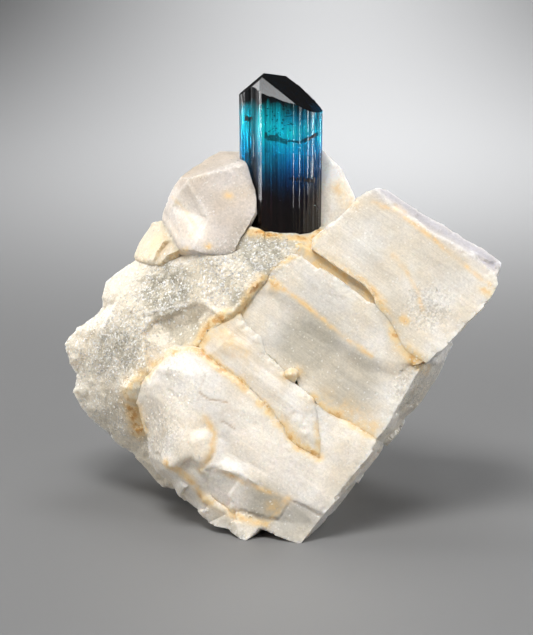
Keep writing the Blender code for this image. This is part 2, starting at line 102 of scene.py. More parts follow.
FORWARD = direction(0, 0, 1)
FACE_NORMAL = direction(-FACE_TURN, FACE_TIP, 1)
GRAIN_AXIS = direction(math.cos(GRAIN_SLOPE), -math.sin(GRAIN_SLOPE), FACE_TURN * 0.8 + FACE_TIP * 0.6)
CROSS_AXIS = FACE_NORMAL.cross(GRAIN_AXIS).normalized()
GRAIN_AXIS = CROSS_AXIS.cross(FACE_NORMAL).normalized()

# Iron stain on what looks forward, and one line of painted shade along the shadow edge under the quartz shelf's
# overhang:
# its width, its strength and the line that it follows, in the layout's x and up.
STAIN_AND_SHADOW_LINES = [
    (1.1, 0.9, [(-14.0, 39.8), (-12.8, 42.0), (-11.0, 43.8), (-8.0, 45.2)]),
    (1.0, 0.85, [(-14.4, 38.6), (-10.0, 35.0), (-6.0, 32.2), (-1.6, 27.8), (2.6, 23.2), (5.6, 19.2), (9.6, 17.2)]),
    (1.0, 0.75, [(-6.0, 45.8), (-3.6, 49.8), (-1.2, 52.6), (1.2, 51.0)]),
    (0.6, 0.6, [(0.0, 53.8), (3.2, 56.2), (6.0, 57.8), (8.4, 59.4)]),
    (0.9, 0.8, [(6.8, 58.6), (12.4, 55.0), (18.4, 51.4), (22.2, 47.6), (23.6, 43.6), (25.6, 39.2)]),
    (1.3, 0.75, [(26.0, 39.0), (28.4, 36.6), (30.8, 34.6)]),
    (0.8, 0.85, [(8.6, 28.8), (12.0, 26.2), (15.0, 24.4), (18.0, 22.6), (21.0, 20.6)]),
    (2.4, 0.3, [(12.0, 27.8), (16.0, 25.8), (20.4, 22.6)]),
    (0.5, 0.5, [(0.0, 53.0), (2.6, 50.4), (6.0, 48.0), (10.0, 44.6), (15.0, 40.6), (20.0, 37.2)]),
    (0.5, 0.42, [(20.4, 67.6), (25.6, 65.4), (32.0, 60.6), (39.0, 54.6), (44.4, 50.2)]),
    (0.5, 0.3, [(24.4, 57.0), (26.8, 54.2), (29.2, 49.8), (30.0, 46.2)]),
    (0.5, 0.55, [(24.6, 41.6), (26.4, 39.6), (27.4, 38.2), (28.8, 37.4)]),
    (1.6, 1.0, [(-28.0, 26.6), (-27.4, 25.2), (-26.6, 21.8)]),
    (1.6, 0.45, [(-29.2, 27.4), (-28.4, 31.0), (-25.6, 33.4)]),
    (0.9, 0.5, [(-26.0, 31.8), (-23.6, 34.6), (-20.0, 37.6), (-16.8, 39.0), (-14.0, 38.2)]),
    (0.8, 0.38, [(-12.8, 24.6), (-11.2, 21.8), (-11.6, 18.2), (-13.6, 14.6)]),
    (0.9, 0.55, [(-20.4, 15.8), (-16.0, 12.6), (-13.2, 8.6), (-6.8, 5.4), (-0.8, 3.8)]),
    (0.5, 0.36, [(-10.5, 14.6), (-4.0, 11.6), (3.8, 8.9)]), (0.6, 0.3, [(3.8, 8.9), (-1.0, 3.2)]),
    (1.2, 0.3, [(0.0, 7.2), (3.2, 8.6)]), (0.4, 0.2, [(-19.6, 69.0), (-16.8, 65.8), (-14.8, 62.6), (-16.0, 61.0)]),
    (0.6, 0.45, [(-23.6, 55.0), (-21.2, 56.2), (-18.8, 57.6), (-16.8, 58.4)]),
    (0.8, 1.0, [(-4.0, 61.8), (0.4, 61.4), (5.0, 61.2), (7.8, 60.4), (10.0, 62.0)]),
    # Painted shade: the second line below darkens the shadow edge under the quartz shelf's overhang.
    (1.6, 0.3, [(14.0, 71.0), (16.4, 67.8)]), (0.6, 0.55, [(-7.6, 45.0), (-4.8, 47.8), (-1.6, 50.6)]),
    (0.8, 0.55, [(-8.4, 69.4), (-8.2, 69.2)]), (0.7, 0.6, [(-12.6, 59.0), (-12.2, 58.8)]),
    (0.9, 0.5, [(25.0, 66.2), (26.0, 65.4)]), (0.8, 0.6, [(26.4, 44.4), (26.8, 44.0)]),
    (1.0, 0.5, [(42.0, 50.4), (43.4, 49.4)]), (3.0, 0.22, [(-25.0, 57.0), (-22.4, 61.0)]),
    (0.8, 0.5, [(-12.6, 36.4), (-14.2, 38.6), (-11.0, 42.0)]), (2.2, 0.3, [(-10.0, 42.0), (-6.0, 38.0)]),
    (1.3, 0.6, [(3.2, 33.0), (5.4, 33.8)]), (0.7, 0.45, [(9.8, 17.0), (9.5, 21.0), (9.2, 24.4)]),
    (1.4, 0.35, [(-28.6, 30.0), (-27.0, 31.6)]),
]

# Painted light: places painted almost white, which lift faces that the lights reach poorly, some of them also the
# stone's milky
# patches. Painted shade: the violet-grey bevel along the upper slab's far edge, painted darker where it faces the key
# light.
PALE_AND_PAINTED_LIGHT = [
    (3.0, 1.0, [(-12.4, 12.6), (-7.6, 9.4)]), (3.6, 0.8, [(-6.0, 25.0), (4.0, 15.0)]),
    (2.4, 0.9, [(-18.4, 68.4), (-15.6, 64.4), (-14.4, 62.0)]), (1.6, 0.4, [(-20.0, 63.0), (-17.0, 59.0)]),
    (1.8, 1.0, [(-28.6, 30.6), (-27.4, 29.4)]), (5.0, 0.35, [(-40.0, 34.0), (-37.0, 20.0), (-30.0, 14.0)]),
]
VIOLET_BEVEL_SHADE = [(1.9, 1.0, [(21.6, 70.6), (26.4, 67.2), (33.0, 62.8), (39.6, 58.8), (44.6, 55.2)])]
VIOLET_BEVEL_SHADE_BACK = (4.0, 11.0)  # how far behind the broad face the bevel fades

# Hairline cracks on the lower block.
CRACKS = [
    (0.16, 0.9, [(-14.0, 29.8), (-12.0, 28.4), (-10.0, 28.2), (-8.4, 27.8)]),
    (0.16, 0.8, [(-9.6, 24.2), (-8.0, 23.4), (-7.0, 22.6)]),
    (0.14, 0.4, [(-14.8, 36.2), (-12.8, 33.2), (-14.0, 30.2)]),
]

# Clear, greyish patches of the stone, and grey painted as shade on the lower block's downward facets, corner and lip:
# x, up, radius and strength.
CLEAR_AND_SHADE_PATCHES = [
    (-21.0, 50.6, 7.0, 0.9), (-31.0, 38.2, 7.0, 0.6), (-17.0, 43.2, 6.5, 0.45), (-10.0, 54.0, 5.0, 0.3),
    (8.0, 39.0, 9.0, 0.95), (15.0, 32.0, 9.0, 0.75), (-1.0, 7.8, 6.0, 0.95), (5.0, 3.6, 6.0, 0.75),
    (-8.0, 2.0, 5.0, 0.8), (-5.8, 48.4, 3.0, 0.7), (24.0, 46.0, 5.0, 0.4), (-36.0, 22.0, 8.0, 0.15),
    (33.0, 28.0, 9.0, 0.4), (-23.6, 19.0, 5.0, 0.1), (-12.0, 76.0, 5.0, 0.22), (-2.0, 58.0, 8.0, 0.8),
    (5.0, 59.0, 4.0, 0.5), (12.0, 46.0, 14.0, 0.22), (28.0, 56.0, 17.0, 0.16),
]

# Sugary patches, which sparkle: x, up, radius and strength.
SUGAR = [
    (-9.0, 53.4, 8.0, 1.0), (-22.0, 51.0, 9.0, 0.9), (-31.0, 38.0, 10.0, 1.0), (-38.0, 36.0, 6.0, 0.9),
    (31.6, 46.4, 6.0, 0.9), (27.6, 30.4, 5.0, 0.9), (-22.6, 22.0, 7.0, 0.6), (-26.0, 44.0, 6.0, 0.8),
    (-33.0, 24.0, 8.0, 0.6), (-1.0, 57.6, 8.0, 0.95), (-19.0, 36.0, 4.0, 0.6), (34.0, 30.0, 9.0, 0.8),
    (-17.0, 30.0, 5.0, 0.3),
]

# Flat cuts that give a crystal its crisp facets: solids that overlap, each with its planes, as a point and a normal.
CRYSTAL_FRONT = ((-3.0, 64.2, 9.45), (-0.06, 0.17, 1.0))
CRYSTAL_SIDE = ((-3.2, 65.0, 9.0), (0.864, -0.504, 0.1))
FACETS = {
    "left_feldspar_crystal": [
        [CRYSTAL_FRONT, ((-12.7, 65.1, 8.3), (-0.507, 0.372, 0.779)), CRYSTAL_SIDE],
        [CRYSTAL_FRONT, ((-12.7, 65.1, 8.7), (-0.66, -0.24, 0.71)), CRYSTAL_SIDE],
    ],
}

# Cuts and swellings of a piece's forward side: an outline, how wide its edge is, and how far out the surface moves, as
# its move at the outline's first point and its rise per millimetre to the right and up.
CHISELLED = {
    "lower_feldspar_block": [
        ([(-19.6, 20.2), (-17.4, 21.8), (-13.6, 23.0), (-11.6, 22.8), (-10.6, 20.6), (-11.0, 17.0), (-13.0, 14.8),
          (-15.0, 14.4), (-17.4, 14.8), (-19.4, 16.2)], 2.6, (1.1, 0.0, 0.0)),
        ([(-10.9, 21.8), (-8.0, 22.6), (-3.6, 18.6), (2.0, 13.0), (-5.8, 13.4), (-11.4, 15.4), (-11.2, 17.0)],
         3.4, (-0.8, 0.05, 0.0)),
        ([(-14.2, 14.2), (-11.8, 15.2), (-6.6, 13.6), (-5.8, 12.6), (-7.8, 9.4), (-7.2, 8.2), (-7.8, 5.8), (-11.4, 8.0),
          (-12.8, 9.8)], 0.5, (-0.15, 0.0, 0.13)),
        ([(3.8, 9.2), (11.5, 5.6), (6.0, -1.0), (-2.0, 2.6), (0.6, 4.2)], 0.5, (-0.25, -0.05, 0.02)),
    ],
    "granular_quartz_mass": [
        ([(-30.4, 31.0), (-28.6, 34.2), (-25.4, 33.6), (-24.6, 29.0), (-26.6, 26.4), (-30.0, 27.4)], 2.0,
         (1.3, 0.0, 0.0)),
        ([(-24.0, 44.2), (-18.0, 46.4), (-14.2, 48.4), (-10.8, 46.0), (-9.4, 44.4), (-14.0, 39.6), (-18.0, 38.8),
          (-21.5, 36.8), (-24.4, 33.6), (-25.6, 37.2), (-26.2, 41.2)], 1.0, (-0.9, 0.02, 0.12)),
        ([(-14.2, 48.6), (-7.0, 52.2), (-1.0, 54.4), (-2.6, 49.8), (-8.0, 45.8), (-10.4, 45.8)], 0.6,
         (-0.4, 0.0, 0.12)),
    ],
}
DEEPEST_CUT = 3.0

# Slopes that soften a step: the step's line, which way the low side lies, the slope's width, how far its top is behind
# the broad face, and its height.
SLOPED = {
    "middle_feldspar_slab": [
        ([(-0.6, 52.0), (2.0, 50.8), (6.0, 48.2), (10.0, 44.6), (15.0, 40.6), (20.0, 37.2), (27.0, 35.6)],
         (-0.6, -0.8), 3.6, 0.22, 0.95),
    ],
}

# Worn places: how wide, how many times evened out, and their line.
WORN = {
    "lower_feldspar_block": [
        (3.4, 40, [(-23.6, 26.0), (-22.0, 30.6), (-19.0, 30.0), (-18.0, 25.0), (-19.4, 20.0)]),
        (1.8, 8, [(-18.4, 13.6), (-15.0, 13.0), (-13.6, 10.4)]),
    ],
}

# Stone that shows in the gaps between pieces: x and up around it, how far behind the broad face it starts, and how
# thick it is.
GAP_FLOOR = (
    [(4.4, 58.8), (6.4, 59.4), (11.0, 56.6), (15.4, 54.2), (19.2, 52.6), (21.4, 50.4), (23.4, 46.0), (21.4, 45.0),
     (18.4, 46.4), (14.0, 48.8), (9.6, 51.6), (5.8, 55.0)], 1.9, 2.1,
)
FOOT_FILLING = (
    [(-8.4, 57.2), (-6.6, 60.0), (-4.0, 62.9), (-2.4, 62.6), (-1.0, 61.8), (-1.0, 57.4), (-5.0, 55.4)], 2.6, 4.0,
)

GRID_FILLED = 0.98  # the most of the remesh's grid that a piece takes up
CREASE = math.radians(55)  # the least angle that stays sharp in a piece's shading
COARSER = {"granular_quartz_mass": 1.28}  # the widest piece's mesh is coarser by this factor
SOFTENED = {"small_nub": 7}  # pieces without crisp edges: how many times each is smoothed

# Each piece's relief and, for a crystal, the tint of its stone; the rear crystal's tint is above one, painted light
# that lifts it out of its partial shadow.
CRISP = {"Step Height": 0.06 * MM, "Facet Tilt": 0.03, "Grit Height": 0.05 * MM, "Chip Depth": 0.15 * MM, "Swell": 0}
SMALL_CRISP = {
    **CRISP, "Step Height": 0.12 * MM, "Facet Size": 9 * MM, "Facet Tilt": 0.1, "Chip Depth": 0.3 * MM,
}
FELDSPAR_CRYSTALS = {
    "left_feldspar_crystal": ("left_crystal", CRISP, (0.74, 0.70, 0.69)),
    "small_feldspar_crystal": ("small_crystal", SMALL_CRISP, (0.80, 0.75, 0.66)),
    # Painted light: this tint above one lifts the rear crystal out of its partial shadow.
    "rear_feldspar_crystal": ("rear_crystal", CRISP, (1.14, 1.15, 1.20)),
}
FELDSPAR_SLABS = {
    "upper_feldspar_slab": ("upper_slab", {"Step Height": 0.26 * MM, "Facet Tilt": 0.14, "Chip Depth": 0.3 * MM}),
    "middle_feldspar_slab": ("middle_slab", {"Step Height": 0.24 * MM, "Facet Tilt": 0.22, "Chip Depth": 0.35 * MM}),
    "lower_feldspar_block": (
        "lower_block", {"Step Height": 0.30 * MM, "Facet Tilt": 0.17, "Facet Size": 8 * MM, "Chip Depth": 0.35 * MM}
    ),
}
STAINED_PIECES = {
    "stained_feldspar_tongue": ("tongue", {"Step Height": 0.5 * MM, "Grain Width": 2 * MM, "Facet Tilt": 0.15}),
    "small_nub": ("nub", {"Step Height": 0.1 * MM, "Facet Tilt": 0.1, "Facet Size": 2 * MM}),
}
QUARTZ_RELIEF = {
    "Step Height": 0.10 * MM, "Grain Length": 6 * MM, "Facet Size": 3.2 * MM, "Facet Tilt": 0.16,
    "Grit Size": 0.8 * MM, "Grit Height": 0.12 * MM, "Chip Depth": 0.6 * MM, "Swell": 0.05 * MM,
}
FILLING_RELIEF = {"Step Height": 0.4 * MM, "Facet Tilt": 0.1, "Chip Depth": 0}
FILLING_SEED = 5
FILLING_PITCH = 0.35 * MM

BLUE_BOTTOM, BLUE_TOP = 58.0 * MM, 86.0 * MM  # the heights between which the crystal changes colour
CRYSTAL_AXIS = Vector((0.5, -0.1)) * MM
CRYSTAL_BURIED, CRYSTAL_END, CRYSTAL_PEAK = 47.7 * MM, 93.1 * MM, 89.1 * MM
CRYSTAL_TAPER = 0.95
CRYSTAL_SECTION = [
    (-8.5, 1.6), (-8.1, -0.2), (-6.6, -2.2), (-6.2, -2.3), (-5.9, -3.1), (-4.9, -4.4), (-4.7, -5.0), (-4.0, -5.55),
    (-2.2, -5.9), (-1.9, -5.8), (0.6, -6.25), (3.7, -6.4), (4.1, -6.1), (4.6, -6.1), (5.0, -5.6), (5.6, -5.4),
    (6.0, -4.8), (6.6, -4.3), (6.9, -3.6), (7.6, -2.8), (7.8, -2.0), (8.3, -0.8), (8.5, 0.6), (7.0, 3.8), (6.6, 4.0),
    (3.8, 6.6), (3.3, 6.6), (0.2, 7.6), (-4.0, 6.6), (-4.4, 6.2), (-7.2, 4.4),
]
CRYSTAL_TIP = [
    ((0.8, -6.2, -4.0), (0.54, -0.15, 0.83)),
    ((-3.8, 0.5, -0.4), (-0.68, -0.02, 0.73)),
    ((-3.3, 0.3, -0.1), (-0.47, 0.47, 0.75)),
    ((-3.6, -3.0, -0.3), (0.12, -0.76, 0.64)),
    ((-4.05, -3.36, -0.32), (-0.675, -0.546, 0.496)),
]

# Dark healed cracks inside the crystal: how far back they reach, and the line that they follow, in x and up.
HEALED = [
    (3.0, [(-2.8, 77.6), (-1.6, 77.0), (-0.7, 77.2), (1.2, 76.5), (2.6, 76.2), (4.3, 76.1), (6.0, 76.6), (7.6, 77.2)]),
    (4.4, [(-2.7, 77.3), (-1.4, 76.9), (-0.2, 76.8), (1.0, 76.4)]),
    (1.8, [(-2.4, 76.9), (-1.2, 76.5), (0.4, 76.3), (1.8, 75.9)]),
    (1.6, [(2.2, 68.7), (3.4, 68.5), (4.6, 68.6), (6.4, 68.0), (7.4, 67.8)]),
    (1.0, [(-6.8, 80.2), (-6.0, 80.0), (-5.2, 80.3)]),
]

# Specks and dots in the crystal: how many, their lowest and highest, leftmost and rightmost, in millimetres.
SPECKS = [
    (26, 78.0, 80.6, -2.6, 3.2), (30, 81.0, 83.6, -2.4, 3.0), (14, 76.6, 78.4, -3.0, 0.8), (14, 67.4, 69.2, 2.0, 8.0),
    (20, 70.0, 82.0, -2.8, 8.0),
]
DOTS = [(80, 62.0, 83.0, -3.2, 8.0), (20, 71.5, 74.0, 2.0, 3.6)]

CAMERA_TARGET = Vector((-2.4, -11.83, 41.5)) * MM
CAMERA_DISTANCE = 0.6
CAMERA_WIDTH_SEEN = 0.1066  # how wide the view is at the target
SENSOR = 36.0
FLOOR_REACH = 4.0
CRYSTAL_MIDDLE = (0.0, -0.006, 0.074)  # where the narrow lights aim

# The lights but the key and the background's: place, size, power, colour, aim and spread in degrees.
WHITE = (1.0, 1.0, 1.0)
LIGHTS = {
    "top_light": ((0.10, 0.30, 0.75), (0.5, 0.35), 1.8, WHITE, CAMERA_TARGET, 180),
    "left_light": ((-0.80, -0.50, 0.30), (0.40, 0.40), 2.3, (1.0, 0.97, 0.92), CAMERA_TARGET, 180),
    "right_light": ((0.60, -0.36, 0.34), (0.30, 0.30), 1.5, WHITE, CAMERA_TARGET, 180),
    "left_strip": ((-0.20, -0.05, 0.0395), (0.03, 0.032), 0.0004, WHITE, CRYSTAL_MIDDLE, 12),
    "right_strip": ((0.18, -0.11, 0.038), (0.05, 0.035), 0.00062, WHITE, CRYSTAL_MIDDLE, 12),
    "tip_light": ((0.19, -0.33, 0.90), (0.20, 0.20), 0.010, WHITE, CRYSTAL_MIDDLE, 11),
    "tip_left_light": ((-0.45, 0.13, 0.28), (0.12, 0.12), 0.0085, WHITE, CRYSTAL_MIDDLE, 14),
    "back_left_light": ((-0.42, 0.42, 0.14), (0.22, 0.34), 1.4, WHITE, CAMERA_TARGET, 180),
    "back_right_light": ((0.42, 0.42, 0.14), (0.22, 0.34), 1.4, WHITE, CAMERA_TARGET, 180),
}
WORLD_COLOUR, WORLD_STRENGTH = (0.84, 0.83, 0.82, 1), 0.05


# Settings


def colour_setting(name, description, default):
    return FloatVectorProperty(
        name=name, description=description, subtype="COLOR", size=3, min=0, max=1, default=default
    )


class StoneSettings(bpy.types.PropertyGroup):
    cream: colour_setting("Cream", "Body colour of the feldspar", (0.88, 0.80, 0.675))
    white: colour_setting("White", "Colour of the feldspar's milky patches", (0.94, 0.905, 0.85))
    # Painted shade: the bevel that faces the key light is painted this darker violet-grey.
    violet: colour_setting("Violet", "Colour of the violet-grey bevel", (0.53, 0.515, 0.565))
    # This colour also stands in for shade on the lower block's downward facets, corner and lip: painted shade.
    clear: colour_setting("Clear", "Colour of the greyish, see-through patches", (0.40, 0.37, 0.29))
    quartz: colour_setting("Quartz", "Body colour of the granular quartz", (0.80, 0.72, 0.58))
    light_stain: colour_setting("Light Stain", "Colour of a thin iron stain", (0.90, 0.63, 0.28))
    dark_stain: colour_setting("Dark Stain", "Colour of a thick iron stain", (0.66, 0.33, 0.08))
    pitch: FloatProperty(
        name="Mesh Pitch", description="How finely the broken stone is meshed", subtype="DISTANCE", unit="LENGTH",
        default=0.34 * MM, min=0.2 * MM, max=2 * MM,
    )
    grains: FloatProperty(
        name="Sugary Grains", description="Loose-looking grains for each square millimetre of a sugary patch",
        default=2.2, min=0, max=8,
    )
    seed: IntProperty(name="Seed", description="Changes every random break", default=3, min=0)


class CrystalSettings(bpy.types.PropertyGroup):
    columns: IntProperty(
        name="Columns", description="How finely the crystal's striae are meshed around it", default=720, min=60,
        max=1500,
    )
    rows: IntProperty(name="Rows", description="How finely they are meshed along it", default=70, min=4, max=300)
    striae: FloatProperty(
        name="Striae", description="Depth of the grooves along the crystal", subtype="DISTANCE", unit="LENGTH",
        default=0.30 * MM, min=0, max=1 * MM,
    )
    refraction: FloatProperty(
        name="Refraction", description="The crystal's index of refraction", default=1.63, min=1, max=2.5
    )


class StageSettings(bpy.types.PropertyGroup):
    floor: colour_setting("Floor", "Colour of the floor", (0.20, 0.202, 0.206))
    key: FloatProperty(
        name="Key Light", description="Power of the light above the specimen", subtype="POWER", unit="POWER",
        default=11.0, min=0,
    )
    glow: FloatProperty(
        name="Background Light", description="Power of the light on the floor behind the specimen", subtype="POWER",
        unit="POWER", default=1.9, min=0,
    )


# Node trees


MIDDLE = (0.5, 0.5, 0.5)  # the middle of a colour's range


class Field:
    """What a node gives. Arithmetic on it adds Math nodes, or Vector Math nodes for a vector or a colour."""

    def __init__(self, socket):
        self.socket, self.tree = socket, socket.id_data
        self.kind = "ShaderNodeVectorMath" if socket.type in ("VECTOR", "RGBA") else "ShaderNodeMath"

    def worked(self, operation, *values):
        return made(self.tree, self.kind, dict(enumerate(values)), operation=operation)

    def __add__(self, other):
        return self.worked("ADD", self, other)

    def __sub__(self, other):
        return self.worked("SUBTRACT", self, other)

    def __rsub__(self, other):
        return self.worked("SUBTRACT", other, self)

    def __mul__(self, other):
        return self.worked("MULTIPLY", self, other)

    def __truediv__(self, other):
        return self.worked("DIVIDE", self, other)

    def __rtruediv__(self, other):
        return self.worked("DIVIDE", other, self)

    def scaled(self, amount):
        return made(self.tree, "ShaderNodeVectorMath", {0: self, "Scale": amount}, operation="SCALE")

    def along(self, axis):
        """How far a vector reaches along an axis."""
        return made(self.tree, "ShaderNodeVectorMath", {0: self, 1: axis}, "Value", operation="DOT_PRODUCT")

    def split(self):
        """A vector's x, y and z."""
        return [Field(output) for output in add(self.tree, "ShaderNodeSeparateXYZ", {0: self}).outputs]


def plug(node, values):
    """Links each value that is a field to its input, and sets any other."""
    for name, value in values.items():
        socket = node.inputs[name]
        if isinstance(value, Field):
            node.id_data.links.new(value.socket, socket)
        elif socket.type == "RGBA" and len(value) == 3:
            socket.default_value = (*value, 1)
        else:
            socket.default_value = value


def add(tree, kind, values=None, **settings):
    node = tree.nodes.new(kind)
    for name, value in settings.items():
        setattr(node, name, value)
    plug(node, values or {})
    return node


def made(tree, kind, values=None, output=0, **settings):
    """What a new node gives."""
    return Field(add(tree, kind, values, **settings).outputs[output])


def combined(x, y, z):
    tree = next(value.tree for value in (x, y, z) if isinstance(value, Field))
    return made(tree, "ShaderNodeCombineXYZ", {0: x, 1: y, 2: z})


def stretched(value, lowest, highest, low=0.0, high=1.0, smooth=True):
    """A value stretched from lowest..highest to low..high, and held there."""
    return made(
        value.tree, "ShaderNodeMapRange",
        {"Value": value, "From Min": lowest, "From Max": highest, "To Min": low, "To Max": high},
        interpolation_type="SMOOTHSTEP" if smooth else "LINEAR",
    )


def stepped(value, levels, start):
    """A value brought to even levels, rising to the next over the last part of each, from its share start."""
    rise = value * levels
    return (rise.worked("FLOOR", rise) + stretched(rise.worked("FRACT", rise), start, 1.0)) / levels


def noise(vector, scale=1.0, detail=2.0, roughness=0.5, output=0):
    return made(
        vector.tree, "ShaderNodeTexNoise",
        {"Vector": vector, "Scale": scale, "Detail": detail, "Roughness": roughness}, output,
    )


def cells(vector, scale):
    """The outputs of a pattern of cells."""
    return add(vector.tree, "ShaderNodeTexVoronoi", {"Vector": vector, "Scale": scale}).outputs


def channel(colour, index):
    return made(colour.tree, "ShaderNodeSeparateColor", {0: colour}, index)


def mapped(vector, scale, rotation=(0, 0, 0), kind="POINT"):
    return made(
        vector.tree, "ShaderNodeMapping", {"Vector": vector, "Rotation": rotation, "Scale": scale}, vector_type=kind
    )


def blend(share, first, second, mode="MIX"):
    """Two colours mixed."""
    tree = next(value.tree for value in (share, first, second) if isinstance(value, Field))
    return made(tree, "ShaderNodeMix", {0: share, 6: first, 7: second}, 2, data_type="RGBA", blend_type=mode)


def shaded(colour, value):
    """A colour made darker or lighter by a number."""
    grey = made(value.tree, "ShaderNodeCombineColor", {0: value, 1: value, 2: value})
    return blend(1.0, colour, grey, "MULTIPLY")


def ramp(value, stops):
    """A colour ramp through stops, each a place and a colour."""
    node = add(value.tree, "ShaderNodeValToRGB", {"Fac": value})
    band = node.color_ramp
    while len(band.elements) < len(stops):
        band.elements.new(0.5)
    for element, (place, colour) in zip(band.elements, stops):
        element.position = place
        element.color = (*colour, 1)
    return Field(node.outputs["Color"])


def random_between(tree, low, high, seed=0):
    """A random number, or a random vector where low is one."""
    if isinstance(low, tuple):
        return made(
            tree, "FunctionNodeRandomValue", {0: low, 1: high, "Seed": seed}, 0, data_type="FLOAT_VECTOR"
        )
    return made(tree, "FunctionNodeRandomValue", {2: low, 3: high, "Seed": seed}, 1, data_type="FLOAT")


def stored(tree, name, kind="FLOAT"):
    return made(tree, "GeometryNodeInputNamedAttribute", {"Name": name}, "Attribute", data_type=kind)


SOCKETS = {float: "Float", int: "Int", Vector: "Vector", type(None): "Material"}


def geometry_tree(name, inputs):
    """An empty geometry tree with these inputs and defaults, and a field for each input."""
    tree = bpy.data.node_groups.new(name, "GeometryNodeTree")
    tree.interface.new_socket("Geometry", in_out="INPUT", socket_type="NodeSocketGeometry")
    for title, default in inputs.items():
        kind = "NodeSocket" + SOCKETS[type(default)]
        socket = tree.interface.new_socket(title, in_out="INPUT", socket_type=kind)
        if default is not None:
            socket.default_value = default
    tree.interface.new_socket("Geometry", in_out="OUTPUT", socket_type="NodeSocketGeometry")
    return tree, {socket.name: Field(socket) for socket in tree.nodes.new("NodeGroupInput").outputs if socket.name}


def ended(tree, geometry, material):
    """Ends a geometry tree in plain, finished faces."""
    real = made(tree, "GeometryNodeRealizeInstances", {"Geometry": geometry})
    add(tree, "NodeGroupOutput", {0: made(tree, "GeometryNodeSetMaterial", {"Geometry": real, "Material": material})})
    return tree


def tree_on(obj, tree, values):
    """Puts a geometry tree on an object, with its inputs set by their identifiers, and makes the result its mesh."""
    modifier = obj.modifiers.new(tree.name, "NODES")
    modifier.node_group = tree
    for socket in tree.interface.items_tree:
        if socket.in_out == "INPUT" and socket.name in values:
            modifier[socket.identifier] = values[socket.name]
    settle(obj)


def settle(obj):
    """Makes what an object's modifiers show its own plain mesh."""
    graph = bpy.context.evaluated_depsgraph_get()
    plain = bpy.data.meshes.new_from_object(obj.evaluated_get(graph), preserve_all_data_layers=True, depsgraph=graph)
    if not plain.polygons:
        raise RuntimeError(obj.name + " came out empty")
    obj.modifiers.clear()
    obj.data = plain
    plain.name = obj.name


def new_object(name, data):
    obj = bpy.data.objects.new(name, data)
    bpy.context.scene.collection.objects.link(obj)
    return obj


def object_of(name, bm):
    """A new object with what a bmesh holds, its faces turned outwards."""
    bmesh.ops.recalc_face_normals(bm, faces=bm.faces)
    mesh = bpy.data.meshes.new(name)
    bm.to_mesh(mesh)
    bm.free()
    return new_object(name, mesh)


# Stone


def array_of(mesh, field):
    values = np.empty(len(mesh.vertices) * 3)
    mesh.vertices.foreach_get(field, values)
    return values.reshape(-1, 3)


def place_points(mesh, points):
    mesh.vertices.foreach_set("co", points.ravel())
    mesh.update()


def paint(mesh, name, values):
    """Stores a number, or a vector, for each vertex."""
    if name in mesh.attributes:
        mesh.attributes.remove(mesh.attributes[name])
    kind, field = ("FLOAT", "value") if values.ndim == 1 else ("FLOAT_VECTOR", "vector")
    layer = mesh.attributes.new(name, kind, "POINT")
    layer.data.foreach_set(field, values.astype(np.float32).ravel())


def eased(values, low, high):
    share = np.clip((values - low) / (high - low), 0, 1)
    return share * share * (3 - 2 * share)


def fading(values, low, high):
    """A share that is full up to low and falls to nothing at high."""
    return 1 - eased(values, low, high)


def bell(values, width):
    return np.exp(-((values / width) ** 2))


def near_line(x, up, line):
    """How far points are from a line through the layout."""
    nearest = np.full(len(x), 1e9)
    for (x0, up0), (x1, up1) in zip(line, line[1:]):
        along = ((x - x0) * (x1 - x0) + (up - up0) * (up1 - up0)) / ((x1 - x0) ** 2 + (up1 - up0) ** 2)
        along = np.clip(along, 0, 1)
        nearest = np.minimum(nearest, np.hypot(x - x0 - along * (x1 - x0), up - up0 - along * (up1 - up0)))
    return nearest


def along_lines(x, up, lines):
    values = np.zeros(len(x))
    for width, strength, line in lines:
        values = np.maximum(values, strength * bell(near_line(x, up, line), width))
    return values


def in_patches(x, up, patches):
    values = np.zeros(len(x))
    for patch_x, patch_up, radius, strength in patches:
        values = np.maximum(values, strength * fading(np.hypot(x - patch_x, up - patch_up) / radius, 0.35, 1.1))
    return values


def depth_inside(x, up, outline):
    """How far inside an outline points lie, and zero outside it."""
    closed = [*outline, outline[0]]
    inside = np.zeros(len(x), bool)
    for (x0, up0), (x1, up1) in zip(closed, closed[1:]):
        if up0 != up1:
            crosses = (up0 > up) != (up1 > up)
            inside ^= crosses & (x < x0 + (up - up0) / (up1 - up0) * (x1 - x0))
    return np.where(inside, near_line(x, up, closed), 0)


def laid_out(mesh):
    """A mesh's points and normals as they stand, and each point's x, up and distance behind the broad face."""
    points = array_of(mesh, "co")
    laid = (points - np.array(SPECIMEN)) / MM @ np.array(LEANING)
    x, up = laid[:, 0], laid[:, 2]
    return points, array_of(mesh, "normal"), x, up, broad_face(x, up) + laid[:, 1]


def evened(mesh, points, chosen, rounds):
    """Evens out the chosen points among their neighbours."""
    ends = np.empty(len(mesh.edges) * 2, np.int32)
    mesh.edges.foreach_get("vertices", ends)
    ends = ends.reshape(-1, 2)
    ends = np.concatenate([ends, ends[:, ::-1]])
    ends = ends[chosen[ends[:, 0]]]
    count = np.maximum(np.bincount(ends[:, 0], minlength=len(points)), 1)[:, None]
    for _ in range(rounds):
        total = np.zeros_like(points)
        np.add.at(total, ends[:, 0], points[ends[:, 1]])
        points[chosen] = (total / count)[chosen]


SLOPE_REACH = 2.4  # how deep a groove a slope fills, as a share of its height
STEP_REACH, STEP_ROUNDS = 1.3, 8  # how wide the top of a slope is evened out, and how often
WORN_BACK = 9.0  # how far behind the broad face a worn place reaches


